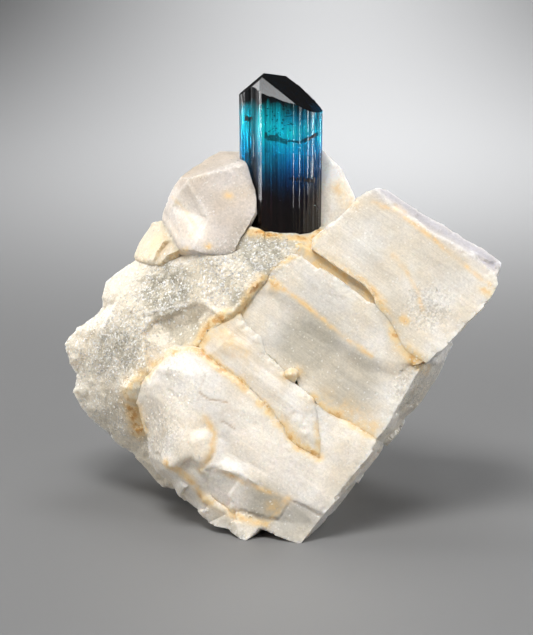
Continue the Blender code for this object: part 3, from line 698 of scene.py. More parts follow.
def chiselled(node, mesh):
    """Cuts a piece's forward side inside each outline, raises it to each slope, and wears it along each worn line."""
    points, normals, x, up, behind = laid_out(mesh)
    forward = eased(normals @ np.array(FORWARD), 0.0, 0.3)
    for outline, edge, (height, by_x, by_up) in CHISELLED.get(node, []):
        cut = height + by_x * (x - outline[0][0]) + by_up * (up - outline[0][1])
        cut = np.clip(cut, -DEEPEST_CUT, DEEPEST_CUT) * eased(depth_inside(x, up, outline), 0, edge) * forward
        points += (cut * MM)[:, None] * np.array(FORWARD)
    for line, (towards_x, towards_up), width, top, height in SLOPED.get(node, []):
        low_side = [(x0 + towards_x * width, up0 + towards_up * width) for x0, up0 in reversed(line)]
        away, shallow = near_line(x, up, line), behind < top + SLOPE_REACH * height
        sloping = ((depth_inside(x, up, line + low_side) > 0) | (away < 0.6)) & shallow
        raised = np.clip(behind - top - height * eased(away, 0, width), 0, None) * sloping
        points += (raised * MM)[:, None] * np.array(FORWARD)
        evened(mesh, points, (away < STEP_REACH) & shallow, STEP_ROUNDS)
    for width, rounds, line in WORN.get(node, []):
        evened(mesh, points, (near_line(x, up, line) < width) & (behind < WORN_BACK), rounds)
    place_points(mesh, points)


def neighbours_of(node):
    """A search tree of every other CAD node's faces."""
    points, faces = [], []
    for other in PIECES:
        if other != node:
            mesh = bpy.data.objects[other].data
            faces += [[i + len(points) for i in face.vertices] for face in mesh.polygons]
            points += [vert.co.copy() for vert in mesh.vertices]
    return BVHTree.FromPolygons(points, faces)


def mark(node, mesh, sharp):
    """Stores where a piece is flat, stained, clear, sugary, cracked, near a sharp edge and near a neighbour, and where
    light
    and shade are painted: pale places, the shaded bevel, shade in some stain and clear marks, and highlights along the
    rims.
    """
    points, normals, x, up, behind = laid_out(mesh)
    forward = eased(normals @ np.array(FORWARD), -0.2, 0.35)
    worn, sloped, lilac = np.zeros(len(x)), np.zeros(len(x)), along_lines(x, up, VIOLET_BEVEL_SHADE)
    for width, _, line in sum(WORN.values(), []):
        worn = np.maximum(worn, fading(near_line(x, up, line), width - 1.0, width + 1.0))
    for slope in sum(SLOPED.values(), []):
        sloped = np.maximum(sloped, fading(near_line(x, up, slope[0]), 1.0, 2.0))
    paint(mesh, "flat", np.maximum(eased(normals @ np.array(FACE_NORMAL), 0.80, 0.97), worn))
    # stain: iron stain, and painted shade along the quartz shelf's overhang.
    paint(mesh, "stain", along_lines(x, up, STAIN_AND_SHADOW_LINES) * forward)
    # clear: grey, see-through stone, and painted shade on the lower block's downward facets, corner and lip.
    paint(mesh, "clear", in_patches(x, up, CLEAR_AND_SHADE_PATCHES) * forward)
    paint(mesh, "sugar", in_patches(x, up, SUGAR) * (0.35 + 0.65 * forward))
    # pale: painted light on faces that the lights reach poorly, partly the stone's own milky patches.
    paint(mesh, "pale", along_lines(x, up, PALE_AND_PAINTED_LIGHT))
    # The bevel's mark: painted shade on the bevel that faces the key light.
    paint(mesh, "lilac", lilac * fading(behind, *VIOLET_BEVEL_SHADE_BACK))
    paint(mesh, "crack", along_lines(x, up, CRACKS) * forward)

    neighbours = neighbours_of(node)
    found = [neighbours.find_nearest(point) for point in points]
    gap = np.array([item[3] for item in found])
    seam = fading(gap, 0.5 * MM, 1.6 * MM)
    paint(mesh, "seam", seam)
    reach = np.clip(gap / 2 + 0.04 * MM, 0, CLOSED_BY) * fading(gap, 0.7 * MM, 1.3 * MM) / np.maximum(gap, 1e-6)
    paint(mesh, "close", (np.array([item[0] for item in found]) - points) * reach[:, None])
    near = np.array([sharp.find(point)[2] for point in points]) if sharp else np.full(len(points), 1.0)
    near += 3 * MM * (sloped + worn)
    # rim lightens the colour near sharp edges as a painted highlight; edge adds glinting grains there, which are
    # painted whiter.
    paint(mesh, "rim", bell(near, 0.42 * MM) * (1 - 0.9 * seam))
    paint(mesh, "edge", bell(near, 0.9 * MM) * (1 - 0.85 * seam) * (1 - 0.8 * lilac))


SHARP = math.radians(28)
SHARP_SPACING = 0.5 * MM


def sharp_places(mesh):
    """Points along the outward edges of a mesh."""
    bm = bmesh.new()
    bm.from_mesh(mesh)
    found = []
    for edge in bm.edges:
        if len(edge.link_faces) == 2 and edge.is_convex and edge.calc_face_angle() > SHARP:
            start, end = (vert.co.copy() for vert in edge.verts)
            count = max(2, int(edge.calc_length() / SHARP_SPACING) + 1)
            found += [start.lerp(end, i / (count - 1)) for i in range(count)]
    bm.free()
    tree = KDTree(max(len(found), 1))
    for i, point in enumerate(found):
        tree.insert(point, i)
    tree.balance()
    return tree if found else None


def cut_off(bm, point, normal, cap):
    """Takes off what lies beyond a plane, and closes the cut with faces of material cap."""
    cut = bmesh.ops.bisect_plane(
        bm, geom=[*bm.verts, *bm.edges, *bm.faces], dist=ON_PLANE, plane_co=point, plane_no=normal, clear_outer=True
    )
    rim = [item for item in cut["geom_cut"] if isinstance(item, bmesh.types.BMEdge)]
    closing = bmesh.ops.triangle_fill(bm, edges=rim, use_beauty=True, normal=normal)
    for item in closing["geom"]:
        if isinstance(item, bmesh.types.BMFace):
            item.material_index = cap


def cleaved(node, name):
    """A welded copy of a CAD node, or the union of copies that are each cut by their own planes."""
    copies = []
    for planes in FACETS.get(node, [[]]):
        bm = bmesh.new()
        bm.from_mesh(bpy.data.objects[node].data)
        bmesh.ops.remove_doubles(bm, verts=bm.verts, dist=WELD)
        for point, normal in planes:
            cut_off(bm, standing(*point), direction(*normal), 0)
        copies.append(object_of(name, bm))
    obj, *others = copies
    for other in others:
        union = obj.modifiers.new("union", "BOOLEAN")
        union.operation = "UNION"
        union.object = other
    if others:
        settle(obj)
    for other in others:
        bpy.data.objects.remove(other)
    return obj


def fine_copy(node, name, pitch):
    """A finely meshed copy of a CAD node, with its edges kept, marked for its relief and its finish."""
    obj = cleaved(node, name)
    sharp = sharp_places(obj.data)
    remesh = obj.modifiers.new("remesh", "REMESH")
    remesh.mode = "SHARP"
    cells_across = max(obj.dimensions) / (pitch * COARSER.get(node, 1.0))
    remesh.octree_depth = math.ceil(math.log2(cells_across / GRID_FILLED))
    remesh.scale = cells_across / 2 ** remesh.octree_depth
    remesh.sharpness = 1.0
    remesh.use_remove_disconnected = False
    if node in SOFTENED:
        smooth = obj.modifiers.new("smooth", "SMOOTH")
        smooth.iterations = SOFTENED[node]
    settle(obj)
    chiselled(node, obj.data)
    mark(node, obj.data, sharp)
    return obj


def broken_stone_tree():
    """Gives a piece its relief: cleavage steps along the grain, tilted break facets, grit and chipped edges."""
    tree, given = geometry_tree("Broken Stone", {
        "Grain Axis": GRAIN_AXIS, "Cross Axis": CROSS_AXIS, "Face Axis": FACE_NORMAL, "Grain Length": 26 * MM,
        "Grain Width": 3 * MM, "Step Height": 0.4 * MM, "Facet Size": 6 * MM, "Facet Tilt": 0.3,
        "Grit Size": 0.9 * MM, "Grit Height": 0.1 * MM, "Chip Depth": 0.6 * MM, "Swell": 0.15 * MM, "Seed": 1,
        "Material": None,
    })
    flat, edge = stored(tree, "flat"), stored(tree, "edge")
    shift = made(tree, "ShaderNodeVectorMath", {0: (0.037, 0.053, 0.029), "Scale": given["Seed"]}, operation="SCALE")
    place = made(tree, "GeometryNodeInputPosition") + shift

    grained = combined(
        place.along(given["Grain Axis"]) / given["Grain Length"],
        place.along(given["Cross Axis"]) / given["Grain Width"],
        place.along(given["Face Axis"]) / given["Grain Width"],
    )
    steps = (stepped(noise(grained, 1.0, 3.0, 0.55), 6.0, 0.72) - 0.5) * given["Step Height"]

    wander = (noise(place, 300, 2, output=1) - MIDDLE).scaled(2.2 * MM)
    facet = cells(place + wander, 1 / given["Facet Size"])
    facets = (place - Field(facet["Position"])).along(Field(facet["Color"]) - MIDDLE)
    facets = facets * given["Facet Tilt"] * (1 - flat * 0.9)

    grit = (noise(place, 1 / given["Grit Size"], 3, 0.6) - 0.5) * given["Grit Height"] * (1.2 - flat)
    chips = stretched(noise(place, 700, 3, 0.6), 0.46, 0.70) * edge * (given["Chip Depth"] * -1)
    crack = stored(tree, "crack") * (-0.12 * MM)
    height = (given["Swell"] + steps + facets + grit + chips + crack) * (1 - stored(tree, "seam") * 0.8)

    offset = made(tree, "GeometryNodeInputNormal").scaled(height) + stored(tree, "close", "FLOAT_VECTOR")
    broken = made(tree, "GeometryNodeSetPosition", {"Geometry": given["Geometry"], "Offset": offset})
    return ended(tree, broken, given["Material"])


def sugar_tree():
    """Scatters small broken grains over the sugary patches of a surface."""
    tree, given = geometry_tree("Sugary Grains", {
        "Grains": 2.4e6, "Smallest": 0.10 * MM, "Largest": 0.30 * MM, "Seed": 1, "Material": None,
    })
    sugar = stored(tree, "sugar")
    points = made(tree, "GeometryNodeDistributePointsOnFaces", {
        "Mesh": given["Geometry"], "Seed": given["Seed"],
        "Density": sugar.worked("POWER", sugar, 1.6) * given["Grains"],
    }, "Points")
    grain = made(tree, "GeometryNodeMeshCube", {"Size": (1.0, 1.0, 1.0)})
    jitter = random_between(tree, (-0.22, -0.22, -0.22), (0.22, 0.22, 0.22))
    grain = made(tree, "GeometryNodeSetPosition", {"Geometry": grain, "Offset": jitter})
    size = random_between(tree, (0.6, 0.6, 0.6), (1.2, 1.2, 1.2), given["Seed"] + 1.0)
    size = size.scaled(random_between(tree, given["Smallest"], given["Largest"]))
    turned = random_between(tree, (0, 0, 0), (math.tau, math.tau, math.tau), given["Seed"] + 2.0)
    placed = made(
        tree, "GeometryNodeInstanceOnPoints", {"Points": points, "Instance": grain, "Rotation": turned, "Scale": size}
    )
    toned = made(
        tree, "GeometryNodeStoreNamedAttribute",
        {"Geometry": placed, "Name": "tone", "Value": random_between(tree, 0.0, 1.0)},
        data_type="FLOAT", domain="INSTANCE",
    )
    return ended(tree, toned, given["Material"])


def shader_of(name):
    """A new material, its tree, its Principled shader and its Object coordinates."""
    material = bpy.data.materials.new(name)
    material.use_nodes = True
    tree = material.node_tree
    return material, tree, tree.nodes["Principled BSDF"], made(tree, "ShaderNodeTexCoord", output="Object")


def painted(tree, name):
    return made(tree, "ShaderNodeAttribute", output="Fac", attribute_name=name)


def along_grain(coordinates, length, width):
    """Coordinates stretched along the cleavage grain, for a pattern of about one unit a feature."""
    turn = Matrix((GRAIN_AXIS, CROSS_AXIS, FACE_NORMAL)).transposed().to_euler()
    return mapped(coordinates, (length, width, width), tuple(turn), "TEXTURE")


def bumped(height, strength, distance):
    return made(height.tree, "ShaderNodeBump", {"Strength": strength, "Distance": distance, "Height": height})


def glinting(coordinates, size, share, lean, height, distance):
    """Grains of which a share leans far enough to glint: which ones do, and a normal that leans in each, on a bump."""
    grain = Field(cells(coordinates, 1 / size)["Color"])
    level = channel(grain, 0)
    bright = level.worked("GREATER_THAN", level, 1 - share)
    normal = bumped(height, 1.0, distance) + (grain - MIDDLE).scaled(bright * lean + 0.05)
    return bright, normal.worked("NORMALIZE", normal)


def grain_tone(coordinates, size, swing):
    """A brightness that differs from grain to grain."""
    tone = channel(Field(cells(coordinates, 1 / size)["Color"]), 1)
    return (tone - 0.6) * swing + 1.0


def stained(colour, coordinates, settings, share):
    """A colour under iron stain."""
    weather = stretched(noise(coordinates, 90, 3, 0.6), 0.60, 0.80) * share
    amount = painted(coordinates.tree, "stain") * 1.8 + weather
    amount = amount * stretched(noise(coordinates, 700, 4, 0.65), 0.25, 0.75, 0.45, 1.35)
    amount = amount * stretched(noise(coordinates, 260, 3, 0.6), 0.32, 0.62, 0.25, 1.1)
    thin = blend(stretched(amount, 0.0, 0.7, smooth=False) * 0.75, colour, settings.light_stain)
    return blend(stretched(amount, 0.7, 1.7, high=0.85), thin, settings.dark_stain)


RIM_HIGHLIGHT_COLOUR = (0.96, 0.945, 0.92)


def feldspar_material(name, settings, weather, whiteness, streaky, shade):
    """Cleaved feldspar: faint milky clouds, fine cleavage streaks along the grain and tiny glinting grains, with
    painted light and
    shade: pale places, the darker bevel, highlights along the rims and glinting grains painted whiter.
    """
    material, tree, shader, coordinates = shader_of(name)
    streak = noise(along_grain(coordinates, 7 * MM, 0.5 * MM), 1.0, 3, 0.6)
    hair = noise(along_grain(coordinates, 3 * MM, 0.18 * MM), 1.0, 2, 0.6)
    cloud = noise(coordinates, 110, 3, 0.55)
    fine = noise(coordinates, 2600, 2, 0.6)
    veil = noise(along_grain(coordinates, 11 * MM, 4.5 * MM), 1.0, 3, 0.55)
    pale, sugar = painted(tree, "pale"), painted(tree, "sugar")

    body = blend(stretched(cloud + whiteness, 0.36, 0.70), settings.cream, settings.white)
    # Grey of clear stone, which on the lower block's downward facets, corner and lip is painted shade.
    clear = painted(tree, "clear") * stretched(cloud, 0.3, 0.6, 0.65, 1.0)
    body = blend(clear * 0.75, body, settings.clear)
    # Painted light: pale places lifted towards white, partly the stone's milky patches.
    body = blend(pale * 0.85, body, (0.97, 0.96, 0.95))
    # Painted shade: the bevel that faces the key light, in a darker violet-grey.
    body = blend(painted(tree, "lilac") * 0.9, body, settings.violet)
    lines = stretched(streak, 0.35, 0.7, 1 - 0.035 * streaky, 1 + 0.02 * streaky)
    lines = lines * stretched(hair, 0.3, 0.7, 1 - 0.045 * streaky, 1.015) * stretched(fine, 0.3, 0.7, 0.93, 1.03)
    tone = grain_tone(coordinates, 0.42 * MM, (sugar * 0.14 + (0.075 - 0.035 * streaky)) * 2.0)
    tone = tone * stretched(veil, 0.32, 0.68, 0.90, 1.04)
    body = shaded(body, lines * tone)
    # The crystal's tint, which in pale places gives way to a lighter one as painted light, and which lifts the rear
    # crystal out of its partial shadow.
    body = blend(1.0, body, blend(pale, shade, (1.03, 0.97, 0.90)), "MULTIPLY")
    body = stained(body, coordinates, settings, weather)
    body = blend(painted(tree, "crack") * 0.7, body, (0.42, 0.27, 0.13))

    sugary = sugar + painted(tree, "edge") * 0.35
    sugary = sugary.worked("MINIMUM", sugary, 1.0)
    height = streak * (0.4 * streaky) + hair * (0.15 * streaky) + fine * 0.12
    bright, normal = glinting(coordinates, 0.27 * MM, sugary * 0.30 + 0.02, 0.75, height, 0.17 * MM)
    # Painted highlight along the rims.
    body = blend(painted(tree, "rim") * (0.1 + 0.3 * streaky), body, RIM_HIGHLIGHT_COLOUR)
    # Painted glints: glinting grains painted whiter.
    body = blend(bright * 0.4, body, (0.97, 0.95, 0.92))
    plug(shader, {
        "Base Color": body, "Normal": normal, "Roughness": stretched(bright, 0.0, 1.0, 0.44, 0.10), "IOR": 1.52,
        "Subsurface Weight": 0.5, "Subsurface Radius": (1.0, 0.85, 0.65), "Subsurface Scale": 2.4 * MM,
    })
    return material


def quartz_material(name, settings, grainy):
    """Granular quartz: clear, smoky ground full of small white and glinting grains; the glinting grains, the rims and
    the pale lump are also painted lighter as painted light.
    """
    material, tree, shader, coordinates = shader_of(name)
    fine, sugar = noise(coordinates, 2400, 2, 0.6), painted(tree, "sugar")
    cloud = stretched(noise(coordinates, 130, 3, 0.6), 0.38, 0.66)
    body = blend(cloud, settings.quartz, settings.cream)
    patch = stretched(noise(coordinates, 420, 3, 0.6), 0.36, 0.58, 0.40, 1.3)
    body = blend(painted(tree, "clear") * patch, body, settings.clear)
    bright, normal = glinting(coordinates, 0.36 * MM, sugar * 0.20 + 0.05, 0.8, fine, 0.16 * MM)
    # Painted glints: glinting grains painted whiter, together with white grains of the stone.
    body = blend(bright * 0.75, body, (0.96, 0.95, 0.92))
    tone = grain_tone(coordinates, 0.48 * MM, sugar * 0.28 + 0.12)
    body = shaded(body, stretched(fine, 0.3, 0.7, 0.88, 1.06) * tone)
    if grainy:
        body = blend(stretched(painted(tree, "tone"), 0.3, 1.0, low=0.15), body, settings.white)
    # Painted highlight along the rims.
    body = blend(painted(tree, "rim") * 0.5, body, RIM_HIGHLIGHT_COLOUR)
    # Painted light: the pale lump lifted to a light cream where it faces away from the lights.
    body = blend(painted(tree, "pale") * 0.9, body, (1.0, 0.95, 0.84))
    body = stained(body, coordinates, settings, 0.2)
    plug(shader, {
        "Base Color": body, "Normal": normal, "Roughness": stretched(bright, 0.0, 1.0, 0.40, 0.08), "IOR": 1.54,
        "Subsurface Weight": 0.45, "Subsurface Radius": (1.0, 0.9, 0.75), "Subsurface Scale": 2.0 * MM,
    })
    return material


def keep_in_box(mesh):
    """Holds every vertex inside the CAD model's box."""
    low, high = np.array(CAD_BOX[0]), np.array(CAD_BOX[1])
    place_points(mesh, np.clip(array_of(mesh, "co"), low + BOX_MARGIN, high - BOX_MARGIN))


def break_up(obj, material, seed, relief):
    """Gives a marked piece its relief and smooth shading."""
    tree = bpy.data.node_groups.get("Broken Stone") or broken_stone_tree()
    tree_on(obj, tree, {"Material": material, "Seed": seed, **relief})
    obj.data.shade_smooth()


def stone_piece(node, name, material, relief):
    """Makes one piece of the matrix, in the place of its CAD node."""
    settings = bpy.context.scene.stone
    obj = fine_copy(node, name, settings.pitch)
    break_up(obj, material, settings.seed, relief)
    keep_in_box(obj.data)
    obj.data.set_sharp_from_angle(angle=CREASE)
    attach(obj, "root")
    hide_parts(node)
    return obj


def filling(name, outline, sink, thickness, material, slot, marks):
    """Makes the stone that shows in a gap."""
    bm = bmesh.new()
    front, back = (
        [bm.verts.new(standing(x, up, broad_face(x, up) - depth)) for x, up in outline]
        for depth in (sink, sink + thickness)
    )
    for ring in (front, back):
        bm.faces.new(ring)
    for i, start in enumerate(front):
        after = (i + 1) % len(outline)
        bm.faces.new((start, front[after], back[after], back[i]))
    obj = object_of(name, bm)
    remesh = obj.modifiers.new("remesh", "REMESH")
    remesh.mode = "VOXEL"
    remesh.voxel_size = FILLING_PITCH
    settle(obj)
    mark(None, obj.data, None)
    count = len(obj.data.vertices)
    for mark_name, value in {"seam": 0.0, **marks}.items():
        paint(obj.data, mark_name, np.full(count, value))
    paint(obj.data, "close", np.zeros((count, 3)))
    break_up(obj, material, FILLING_SEED, FILLING_RELIEF)
    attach(obj, "root")


class SPECIMEN_OT_feldspar_crystals(bpy.types.Operator):
    """Makes the three blocky feldspar crystals around the tourmaline"""

    bl_idname = "specimen.feldspar_crystals"
    bl_label = "Feldspar Crystals"

    def execute(self, context):
        for node, (name, relief, shade) in FELDSPAR_CRYSTALS.items():
            material = feldspar_material(name + "_feldspar", context.scene.stone, 0.05, 0.02, 0.10, shade)
            stone_piece(node, name, material, relief)
        return {"FINISHED"}


class SPECIMEN_OT_feldspar_slabs(bpy.types.Operator):
    """Makes the cleaved slabs and the large block of feldspar"""

    bl_idname = "specimen.feldspar_slabs"
    bl_label = "Feldspar Slabs"

    def execute(self, context):
        settings = context.scene.stone
        cream = feldspar_material("cream_feldspar", settings, 0.10, 0.0, 0.75, (0.97, 0.97, 0.97))
        white = feldspar_material("white_feldspar", settings, 0.12, 0.05, 0.45, (0.98, 0.975, 0.975))
        for node, (name, relief) in FELDSPAR_SLABS.items():
            stone_piece(node, name, white if name == "lower_block" else cream, relief)
        return {"FINISHED"}


class SPECIMEN_OT_stained_feldspar(bpy.types.Operator):
    """Makes the iron-stained tongue, the nub at its edge and the floor of the open gap, whose stain and grey are partly
    painted shade
    """

    bl_idname = "specimen.stained_feldspar"
    bl_label = "Stained Feldspar"

    def execute(self, context):
        material = feldspar_material("stained_feldspar", context.scene.stone, 0.35, 0.0, 0.9, (0.99, 0.98, 0.97))
        for node, (name, relief) in STAINED_PIECES.items():
            stone_piece(node, name, material, relief)
        # The gap floor's stain and grey are partly iron stain and partly painted shade, standing in for the shade
        # inside the gap.
        filling("gap_floor", *GAP_FLOOR, material, "stained_feldspar", {"stain": 0.5, "clear": 0.55})
        return {"FINISHED"}


class SPECIMEN_OT_quartz_mass(bpy.types.Operator):
    """Makes the granular quartz mass, with loose-looking grains over its sugary patches"""

    bl_idname = "specimen.quartz_mass"
    bl_label = "Quartz Mass"

    def execute(self, context):
        settings = context.scene.stone
        material = quartz_material("granular_quartz", settings, False)
        mass = stone_piece("granular_quartz_mass", "quartz_mass", material, QUARTZ_RELIEF)
        filling("foot_filling", *FOOT_FILLING, material, "quartz", {"clear": 0.5})
        grains = new_object("sugary_grains", mass.data.copy())
        tree_on(grains, sugar_tree(), {
            "Grains": settings.grains / MM ** 2, "Seed": settings.seed,
            "Material": quartz_material("sugary_quartz", settings, True),
        })
        keep_in_box(grains.data)
        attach(grains, "root")
        return {"FINISHED"}


# Tourmaline


def striated_prism_tree():
    """Draws a section up into a prism whose sides are grooved along their length."""
    tree, given = geometry_tree("Striated Prism", {
        "Columns": 720, "Rows": 70, "Bottom": CRYSTAL_BURIED, "Top": CRYSTAL_END, "Taper": CRYSTAL_TAPER,
        "Striae": 0.3 * MM, "Seed": 1, "Material": None,
    })
    outline = made(tree, "GeometryNodeMeshToCurve", {"Mesh": given["Geometry"]})
    grid = made(tree, "GeometryNodeMeshGrid", {
        "Size X": 1.0, "Size Y": 1.0, "Vertices X": given["Columns"], "Vertices Y": given["Rows"],
    })
    across, along, _ = made(tree, "GeometryNodeInputPosition").split()
    around, along = across + 0.5, along + 0.5
    spot = add(tree, "GeometryNodeSampleCurve", {"Curves": outline, "Factor": around}, mode="FACTOR").outputs
    base, tangent = Field(spot["Position"]), Field(spot["Tangent"])
    outward = tangent.worked("CROSS_PRODUCT", tangent, (0, 0, 1))
    height = stretched(along, 0.0, 1.0, given["Bottom"], given["Top"], smooth=False)
    share = stretched(along, 0.0, 1.0, given["Taper"], 1.0, smooth=False)
    x, y, _ = base.split()

    def grooves(width, length):
        place = combined(x / width, y / width, height / length + given["Seed"] * 0.731)
        return noise(place, 1.0, 1, 0.6)

    broad, narrow, hair = grooves(2.4 * MM, 400 * MM), grooves(0.7 * MM, 300 * MM), grooves(0.24 * MM, 260 * MM)
    depth = (broad - 0.5) + (stepped(narrow, 7.0, 0.55) - 0.6) * 1.3 + (hair - 0.5) * 0.35
    calm = stretched(x, 1.6 * MM, 4.2 * MM, 0.28, 1.2) + stretched(x, -6.4 * MM, -4.9 * MM, 0.4, 0.0)
    sides = base.scaled(share) + outward.scaled(depth * calm * given["Striae"])
    shaped = made(tree, "GeometryNodeSetPosition", {"Geometry": grid, "Position": sides + combined(0, 0, height)})
    merged = made(tree, "GeometryNodeMergeByDistance", {"Geometry": shaped, "Distance": WELD})
    return ended(tree, merged, given["Material"])


TIP_DARK = (0.0, 0.001, 0.002)
FOOT_DARK = (0.012, 0.004, 0.004)


def tourmaline_material(settings):
    """Zoned tourmaline: see-through, near black at its foot, then blue and cyan, then black below its point. Its left
    faces and a band beside its front-left edge are painted darker as painted shade, and its streaks lift the colour
    above full strength as a painted glow.
    """
    material, _, shader, coordinates = shader_of("zoned_tourmaline")
    x, _, up = coordinates.split()
    upright = mapped(coordinates, (1, 1, 0.005))
    wide_streak = noise(upright, 300, 2, 0.5)
    ragged = (noise(upright, 900, 2, 0.55) - 0.5) * (3.2 * MM)
    height = up + ragged + (wide_streak - 0.5) * (3.0 * MM) + (noise(coordinates, 160, 2, 0.5) - 0.5) * (3.0 * MM)
    share = stretched(height, BLUE_BOTTOM, BLUE_TOP, smooth=False)
    left = ramp(share, [
        (0.10, FOOT_DARK), (0.25, (0.008, 0.004, 0.010)), (0.38, (0.002, 0.06, 0.14)), (0.54, (0.001, 0.22, 0.36)),
        (0.72, (0.004, 0.77, 1.0)), (0.84, (0.0, 0.40, 0.47)), (0.915, TIP_DARK),
    ])
    right = ramp(share, [
        (0.10, FOOT_DARK), (0.22, (0.008, 0.004, 0.016)), (0.36, (0.003, 0.08, 0.28)), (0.56, (0.003, 0.31, 0.80)),
        (0.73, (0.005, 0.60, 1.0)), (0.81, (0.0, 0.14, 0.28)), (0.88, (0.0, 0.001, 0.003)),
    ])
    colour = blend(stretched(x + ragged, -3.0 * MM, 5.0 * MM), left, right)
    thin = stretched(noise(mapped(coordinates, (1, 1, 0.004)), 2600, 1), 0.38, 0.6, 0.65, 1.7)
    # Painted glow: streaks lift the colour up to almost twice its strength, besides the zoning's own streaks, standing
    # in for strong light from behind.
    colour = shaded(colour, stretched(wide_streak, 0.3, 0.7, 1.1, 1.9) * thin)
    # Painted shade: the left faces and a band beside the front-left edge are darkened.
    facets = ramp(stretched(x, -8.5 * MM, -2.5 * MM, smooth=False), [
        (place, (level, level, level)) for place, level in
        ((0.0, 0.30), (0.30, 0.52), (0.42, 0.28), (0.70, 0.3), (0.76, 1.0), (0.85, 1.0), (0.92, 0.8))
    ])
    plug(shader, {
        "Base Color": blend(1.0, colour, facets, "MULTIPLY"), "Roughness": 0.03, "IOR": settings.refraction,
        "Specular IOR Level": 0.3, "Specular Tint": (0.5, 0.5, 0.5), "Transmission Weight": 0.88,
    })
    return material


def tip_material(settings):
    """The black, finely lined faces of the crystal's point."""
    material, _, shader, coordinates = shader_of("black_tip")
    lined = mapped(coordinates, (6 * MM, 0.5 * MM, 0.12 * MM), (0.2, math.radians(33), 0.1), "TEXTURE")
    height = noise(lined, 1.0, 3, 0.6) + noise(coordinates, 2600, 2, 0.6) * 0.4
    plug(shader, {
        "Normal": bumped(height, 0.5, 0.02 * MM), "Base Color": (0.004, 0.005, 0.006), "Roughness": 0.13,
        "IOR": settings.refraction, "Specular IOR Level": 0.3,
    })
    return material


class SPECIMEN_OT_tourmaline(bpy.types.Operator):
    """Makes the striated tourmaline prism and its point"""

    bl_idname = "specimen.tourmaline"
    bl_label = "Tourmaline"

    def execute(self, context):
        settings = context.scene.crystal
        mesh = bpy.data.meshes.new("section")
        count = len(CRYSTAL_SECTION)
        corners = [(x * MM, y * MM, 0) for x, y in CRYSTAL_SECTION]
        mesh.from_pydata(corners, [(i, (i + 1) % count) for i in range(count)], [])
        crystal = new_object("tourmaline", mesh)
        tree_on(crystal, striated_prism_tree(), {
            "Columns": settings.columns + 1, "Rows": settings.rows, "Striae": settings.striae, "Seed": 4,
            "Material": tourmaline_material(settings),
        })
        bm = bmesh.new()
        bm.from_mesh(crystal.data)
        bmesh.ops.translate(bm, verts=bm.verts, vec=CRYSTAL_AXIS.to_3d())
        bmesh.ops.holes_fill(bm, edges=[edge for edge in bm.edges if edge.is_boundary], sides=0)
        peak = Vector((*CRYSTAL_AXIS, CRYSTAL_PEAK))
        for point, normal in CRYSTAL_TIP:
            cut_off(bm, peak + Vector(point) * MM, Vector(normal), 1)
        bmesh.ops.recalc_face_normals(bm, faces=bm.faces)
        bmesh.ops.triangulate(bm, faces=[face for face in bm.faces if len(face.verts) > 4])
        bm.to_mesh(crystal.data)
        bm.free()
        crystal.data.materials.append(tip_material(settings))
        crystal.data.shade_flat()
        keep_in_box(crystal.data)
        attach(crystal, "root")
        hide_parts("tourmaline_crystal")
        return {"FINISHED"}


def behind_front(x, depth):
    """Where a depth behind the crystal's forward side is at x, in millimetres."""
    front = sorted(point for point in CRYSTAL_SECTION if point[1] < 1.0)
    side = np.interp(x - CRYSTAL_AXIS.x / MM, [point[0] for point in front], [point[1] for point in front])
    return side + CRYSTAL_AXIS.y / MM + depth


CRACK_POINTS = 70
CRACK_DROP = 0.06  # how far a crack falls for each millimetre that it runs back


def wandering(rng, spread, width):
    """Random numbers along a crack, evened out over a few points."""
    return np.convolve(rng.normal(0, spread, CRACK_POINTS), np.ones(width) / width, "same")


def healed_cracks(rng):
    """Thin, ragged, nearly level sheets just inside the crystal's front."""
    bm = bmesh.new()
    for reach, line in HEALED:
        xs = np.linspace(line[0][0], line[-1][0], CRACK_POINTS)
        ups = np.interp(xs, [x for x, _ in line], [up for _, up in line]) + wandering(rng, 0.16, 4)
        backs = reach * (0.35 + 0.65 * np.abs(wandering(rng, 1.2, 5)))
        halves = 0.15 + 0.34 * np.abs(wandering(rng, 1, 3))
        halves[[0, -1]] = 0.01
        rings = []
        for x, up, front, back, half in zip(xs, ups, behind_front(xs, 0.22), backs, halves):
            drop = CRACK_DROP * back
            ring = [(front, up + half), (front, up - half), (front + back, up - half - drop)]
            ring.append((front + back, up + half - drop))
            rings.append([bm.verts.new(Vector((x, y, z)) * MM) for y, z in ring])
        for ring, after in zip(rings, rings[1:]):
            for i in range(4):
                bm.faces.new((ring[i], after[i], after[(i + 1) % 4], ring[(i + 1) % 4]))
        bm.faces.new(rings[0])
        bm.faces.new(rings[-1])
    return object_of("healed_cracks", bm)


def speck_tree():
    """Puts a small rough speck on every point."""
    tree, given = geometry_tree("Specks", {"Smallest": 0.05 * MM, "Largest": 0.16 * MM, "Seed": 1, "Material": None})
    points = made(tree, "GeometryNodeMeshToPoints", {"Mesh": given["Geometry"]})
    speck = made(tree, "GeometryNodeMeshIcoSphere", {"Radius": 1.0, "Subdivisions": 1})
    squash = random_between(tree, (0.6, 0.6, 0.4), (1.6, 1.0, 1.0))
    scale = squash.scaled(random_between(tree, given["Smallest"], given["Largest"], given["Seed"]))
    placed = made(tree, "GeometryNodeInstanceOnPoints", {"Points": points, "Instance": speck, "Scale": scale})
    return ended(tree, placed, given["Material"])


def scattered(name, rng, bands, smallest, largest, material):
    """Strews specks through the crystal's front, in bands."""
    points = []
    for count, low, high, left, right in bands:
        xs, ups = rng.uniform(left, right, count), rng.uniform(low, high, count)
        depths = behind_front(xs, rng.uniform(0.5, 1.6, count))
        points += [(x * MM, y * MM, up * MM) for x, y, up in zip(xs, depths, ups)]
    mesh = bpy.data.meshes.new(name)
    mesh.from_pydata(points, [], [])
    obj = new_object(name, mesh)
    tree = bpy.data.node_groups.get("Specks") or speck_tree()
    tree_on(obj, tree, {"Smallest": smallest * MM, "Largest": largest * MM, "Seed": 2, "Material": material})
    return obj


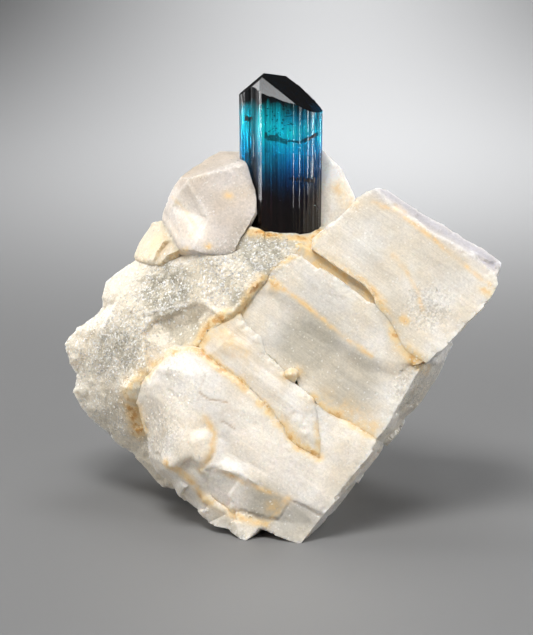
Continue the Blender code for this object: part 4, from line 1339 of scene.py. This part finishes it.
def inclusion_material(name, colour, roughness):
    material, _, shader, coordinates = shader_of(name)
    mottle = stretched(noise(coordinates, 3000, 2, 0.6), 0.3, 0.7, 0.7, 1.2)
    plug(shader, {"Base Color": shaded(colour, mottle), "Roughness": roughness})
    return material


class SPECIMEN_OT_inclusions(bpy.types.Operator):
    """Makes what is sealed in the crystal: healed cracks, dark specks and pale dots"""

    bl_idname = "specimen.inclusions"
    bl_label = "Inclusions"

    def execute(self, context):
        rng = np.random.default_rng(11)
        black = inclusion_material("dark_inclusion", (0.004, 0.006, 0.008), 0.5)
        pale = inclusion_material("pale_inclusion", (0.55, 0.75, 0.80), 0.4)
        cracks = healed_cracks(rng)
        cracks.data.materials.append(black)
        specks = scattered("dark_specks", rng, SPECKS, 0.08, 0.24, black)
        dots = scattered("pale_dots", rng, DOTS, 0.04, 0.11, pale)
        for piece in (cracks, specks, dots):
            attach(piece, "root")
        return {"FINISHED"}


# Stage


def area_light(name, place, size, power, colour=WHITE, aim=CAMERA_TARGET, spread=180):
    """A soft light that faces the place that it is aimed at."""
    light = bpy.data.lights.new(name, "AREA")
    light.shape = "RECTANGLE"
    light.size, light.size_y = size
    light.energy = power
    light.color = colour
    light.spread = math.radians(spread)
    obj = new_object(name, light)
    obj.location = place
    obj.rotation_euler = (Vector(aim) - Vector(place)).to_track_quat("-Z", "Y").to_euler()


class SPECIMEN_OT_stage(bpy.types.Operator):
    """Lays the pale floor, hangs the soft lights and sets the camera"""

    bl_idname = "specimen.stage"
    bl_label = "Stage"

    def execute(self, context):
        scene = context.scene
        settings = scene.stage
        mesh = bpy.data.meshes.new("floor")
        corners = [(-1, -1), (1, -1), (1, 1), (-1, 1)]
        mesh.from_pydata([(x * FLOOR_REACH, y * FLOOR_REACH, 0) for x, y in corners], [], [(0, 1, 2, 3)])
        floor = new_object("floor", mesh)
        material = bpy.data.materials.new("pale_floor")
        material.use_nodes = True
        shader = material.node_tree.nodes["Principled BSDF"]
        plug(shader, {"Base Color": settings.floor, "Roughness": 0.55})
        mesh.materials.append(material)

        area_light("key_light", (-0.20, -0.47, 1.00), (0.45, 0.40), settings.key, (1.0, 0.985, 0.96))
        for name, values in LIGHTS.items():
            area_light(name, *values)
        area_light("background_light", (0.03, 0.72, 0.40), (0.05, 0.90), settings.glow, WHITE, (0.03, 0.72, 0), 55)
        world = bpy.data.worlds.new("studio")
        world.use_nodes = True
        scene.world = world
        plug(world.node_tree.nodes["Background"], {"Color": WORLD_COLOUR, "Strength": WORLD_STRENGTH})
        scene.view_settings.view_transform = "Standard"

        camera = bpy.data.cameras.new("camera")
        camera.sensor_fit = "HORIZONTAL"
        camera.sensor_width = SENSOR
        camera.lens = SENSOR * CAMERA_DISTANCE / CAMERA_WIDTH_SEEN
        scene.camera = new_object("camera", camera)
        scene.camera.location = CAMERA_TARGET + CAMERA_DISTANCE * Vector((0, -math.cos(LEAN), math.sin(LEAN)))
        scene.camera.rotation_euler = (math.pi / 2 - LEAN, 0, 0)
        return {"FINISHED"}


STONE_MAKERS = (
    SPECIMEN_OT_feldspar_crystals, SPECIMEN_OT_feldspar_slabs, SPECIMEN_OT_stained_feldspar, SPECIMEN_OT_quartz_mass
)
CRYSTAL_MAKERS = (SPECIMEN_OT_tourmaline, SPECIMEN_OT_inclusions)
STAGE_MAKERS = (SPECIMEN_OT_stage,)


class SPECIMEN_PT_panel(bpy.types.Panel):
    """Lists what makes the specimen"""

    bl_idname = "SPECIMEN_PT_panel"
    bl_label = "Tourmaline Specimen"
    bl_space_type = "VIEW_3D"
    bl_region_type = "UI"
    bl_category = "Specimen"

    def draw(self, context):
        scene = context.scene
        for settings, makers in (
            (scene.stone, STONE_MAKERS), (scene.crystal, CRYSTAL_MAKERS), (scene.stage, STAGE_MAKERS)
        ):
            box = self.layout.box()
            for name in settings.__annotations__:
                box.prop(settings, name)
            for maker in makers:
                box.operator(maker.bl_idname)


CLASSES = (
    StoneSettings, CrystalSettings, StageSettings, *STONE_MAKERS, *CRYSTAL_MAKERS, *STAGE_MAKERS, SPECIMEN_PT_panel
)


def register():
    for item in CLASSES:
        bpy.utils.register_class(item)
    bpy.types.Scene.stone = PointerProperty(type=StoneSettings)
    bpy.types.Scene.crystal = PointerProperty(type=CrystalSettings)
    bpy.types.Scene.stage = PointerProperty(type=StageSettings)


def unregister():
    del bpy.types.Scene.stage
    del bpy.types.Scene.crystal
    del bpy.types.Scene.stone
    for item in reversed(CLASSES):
        bpy.utils.unregister_class(item)


def main():
    register()
    bpy.ops.specimen.feldspar_crystals()
    bpy.ops.specimen.feldspar_slabs()
    bpy.ops.specimen.stained_feldspar()
    bpy.ops.specimen.quartz_mass()
    bpy.ops.specimen.tourmaline()
    bpy.ops.specimen.inclusions()
    bpy.ops.specimen.stage()


if __name__ == "__main__":
    main()
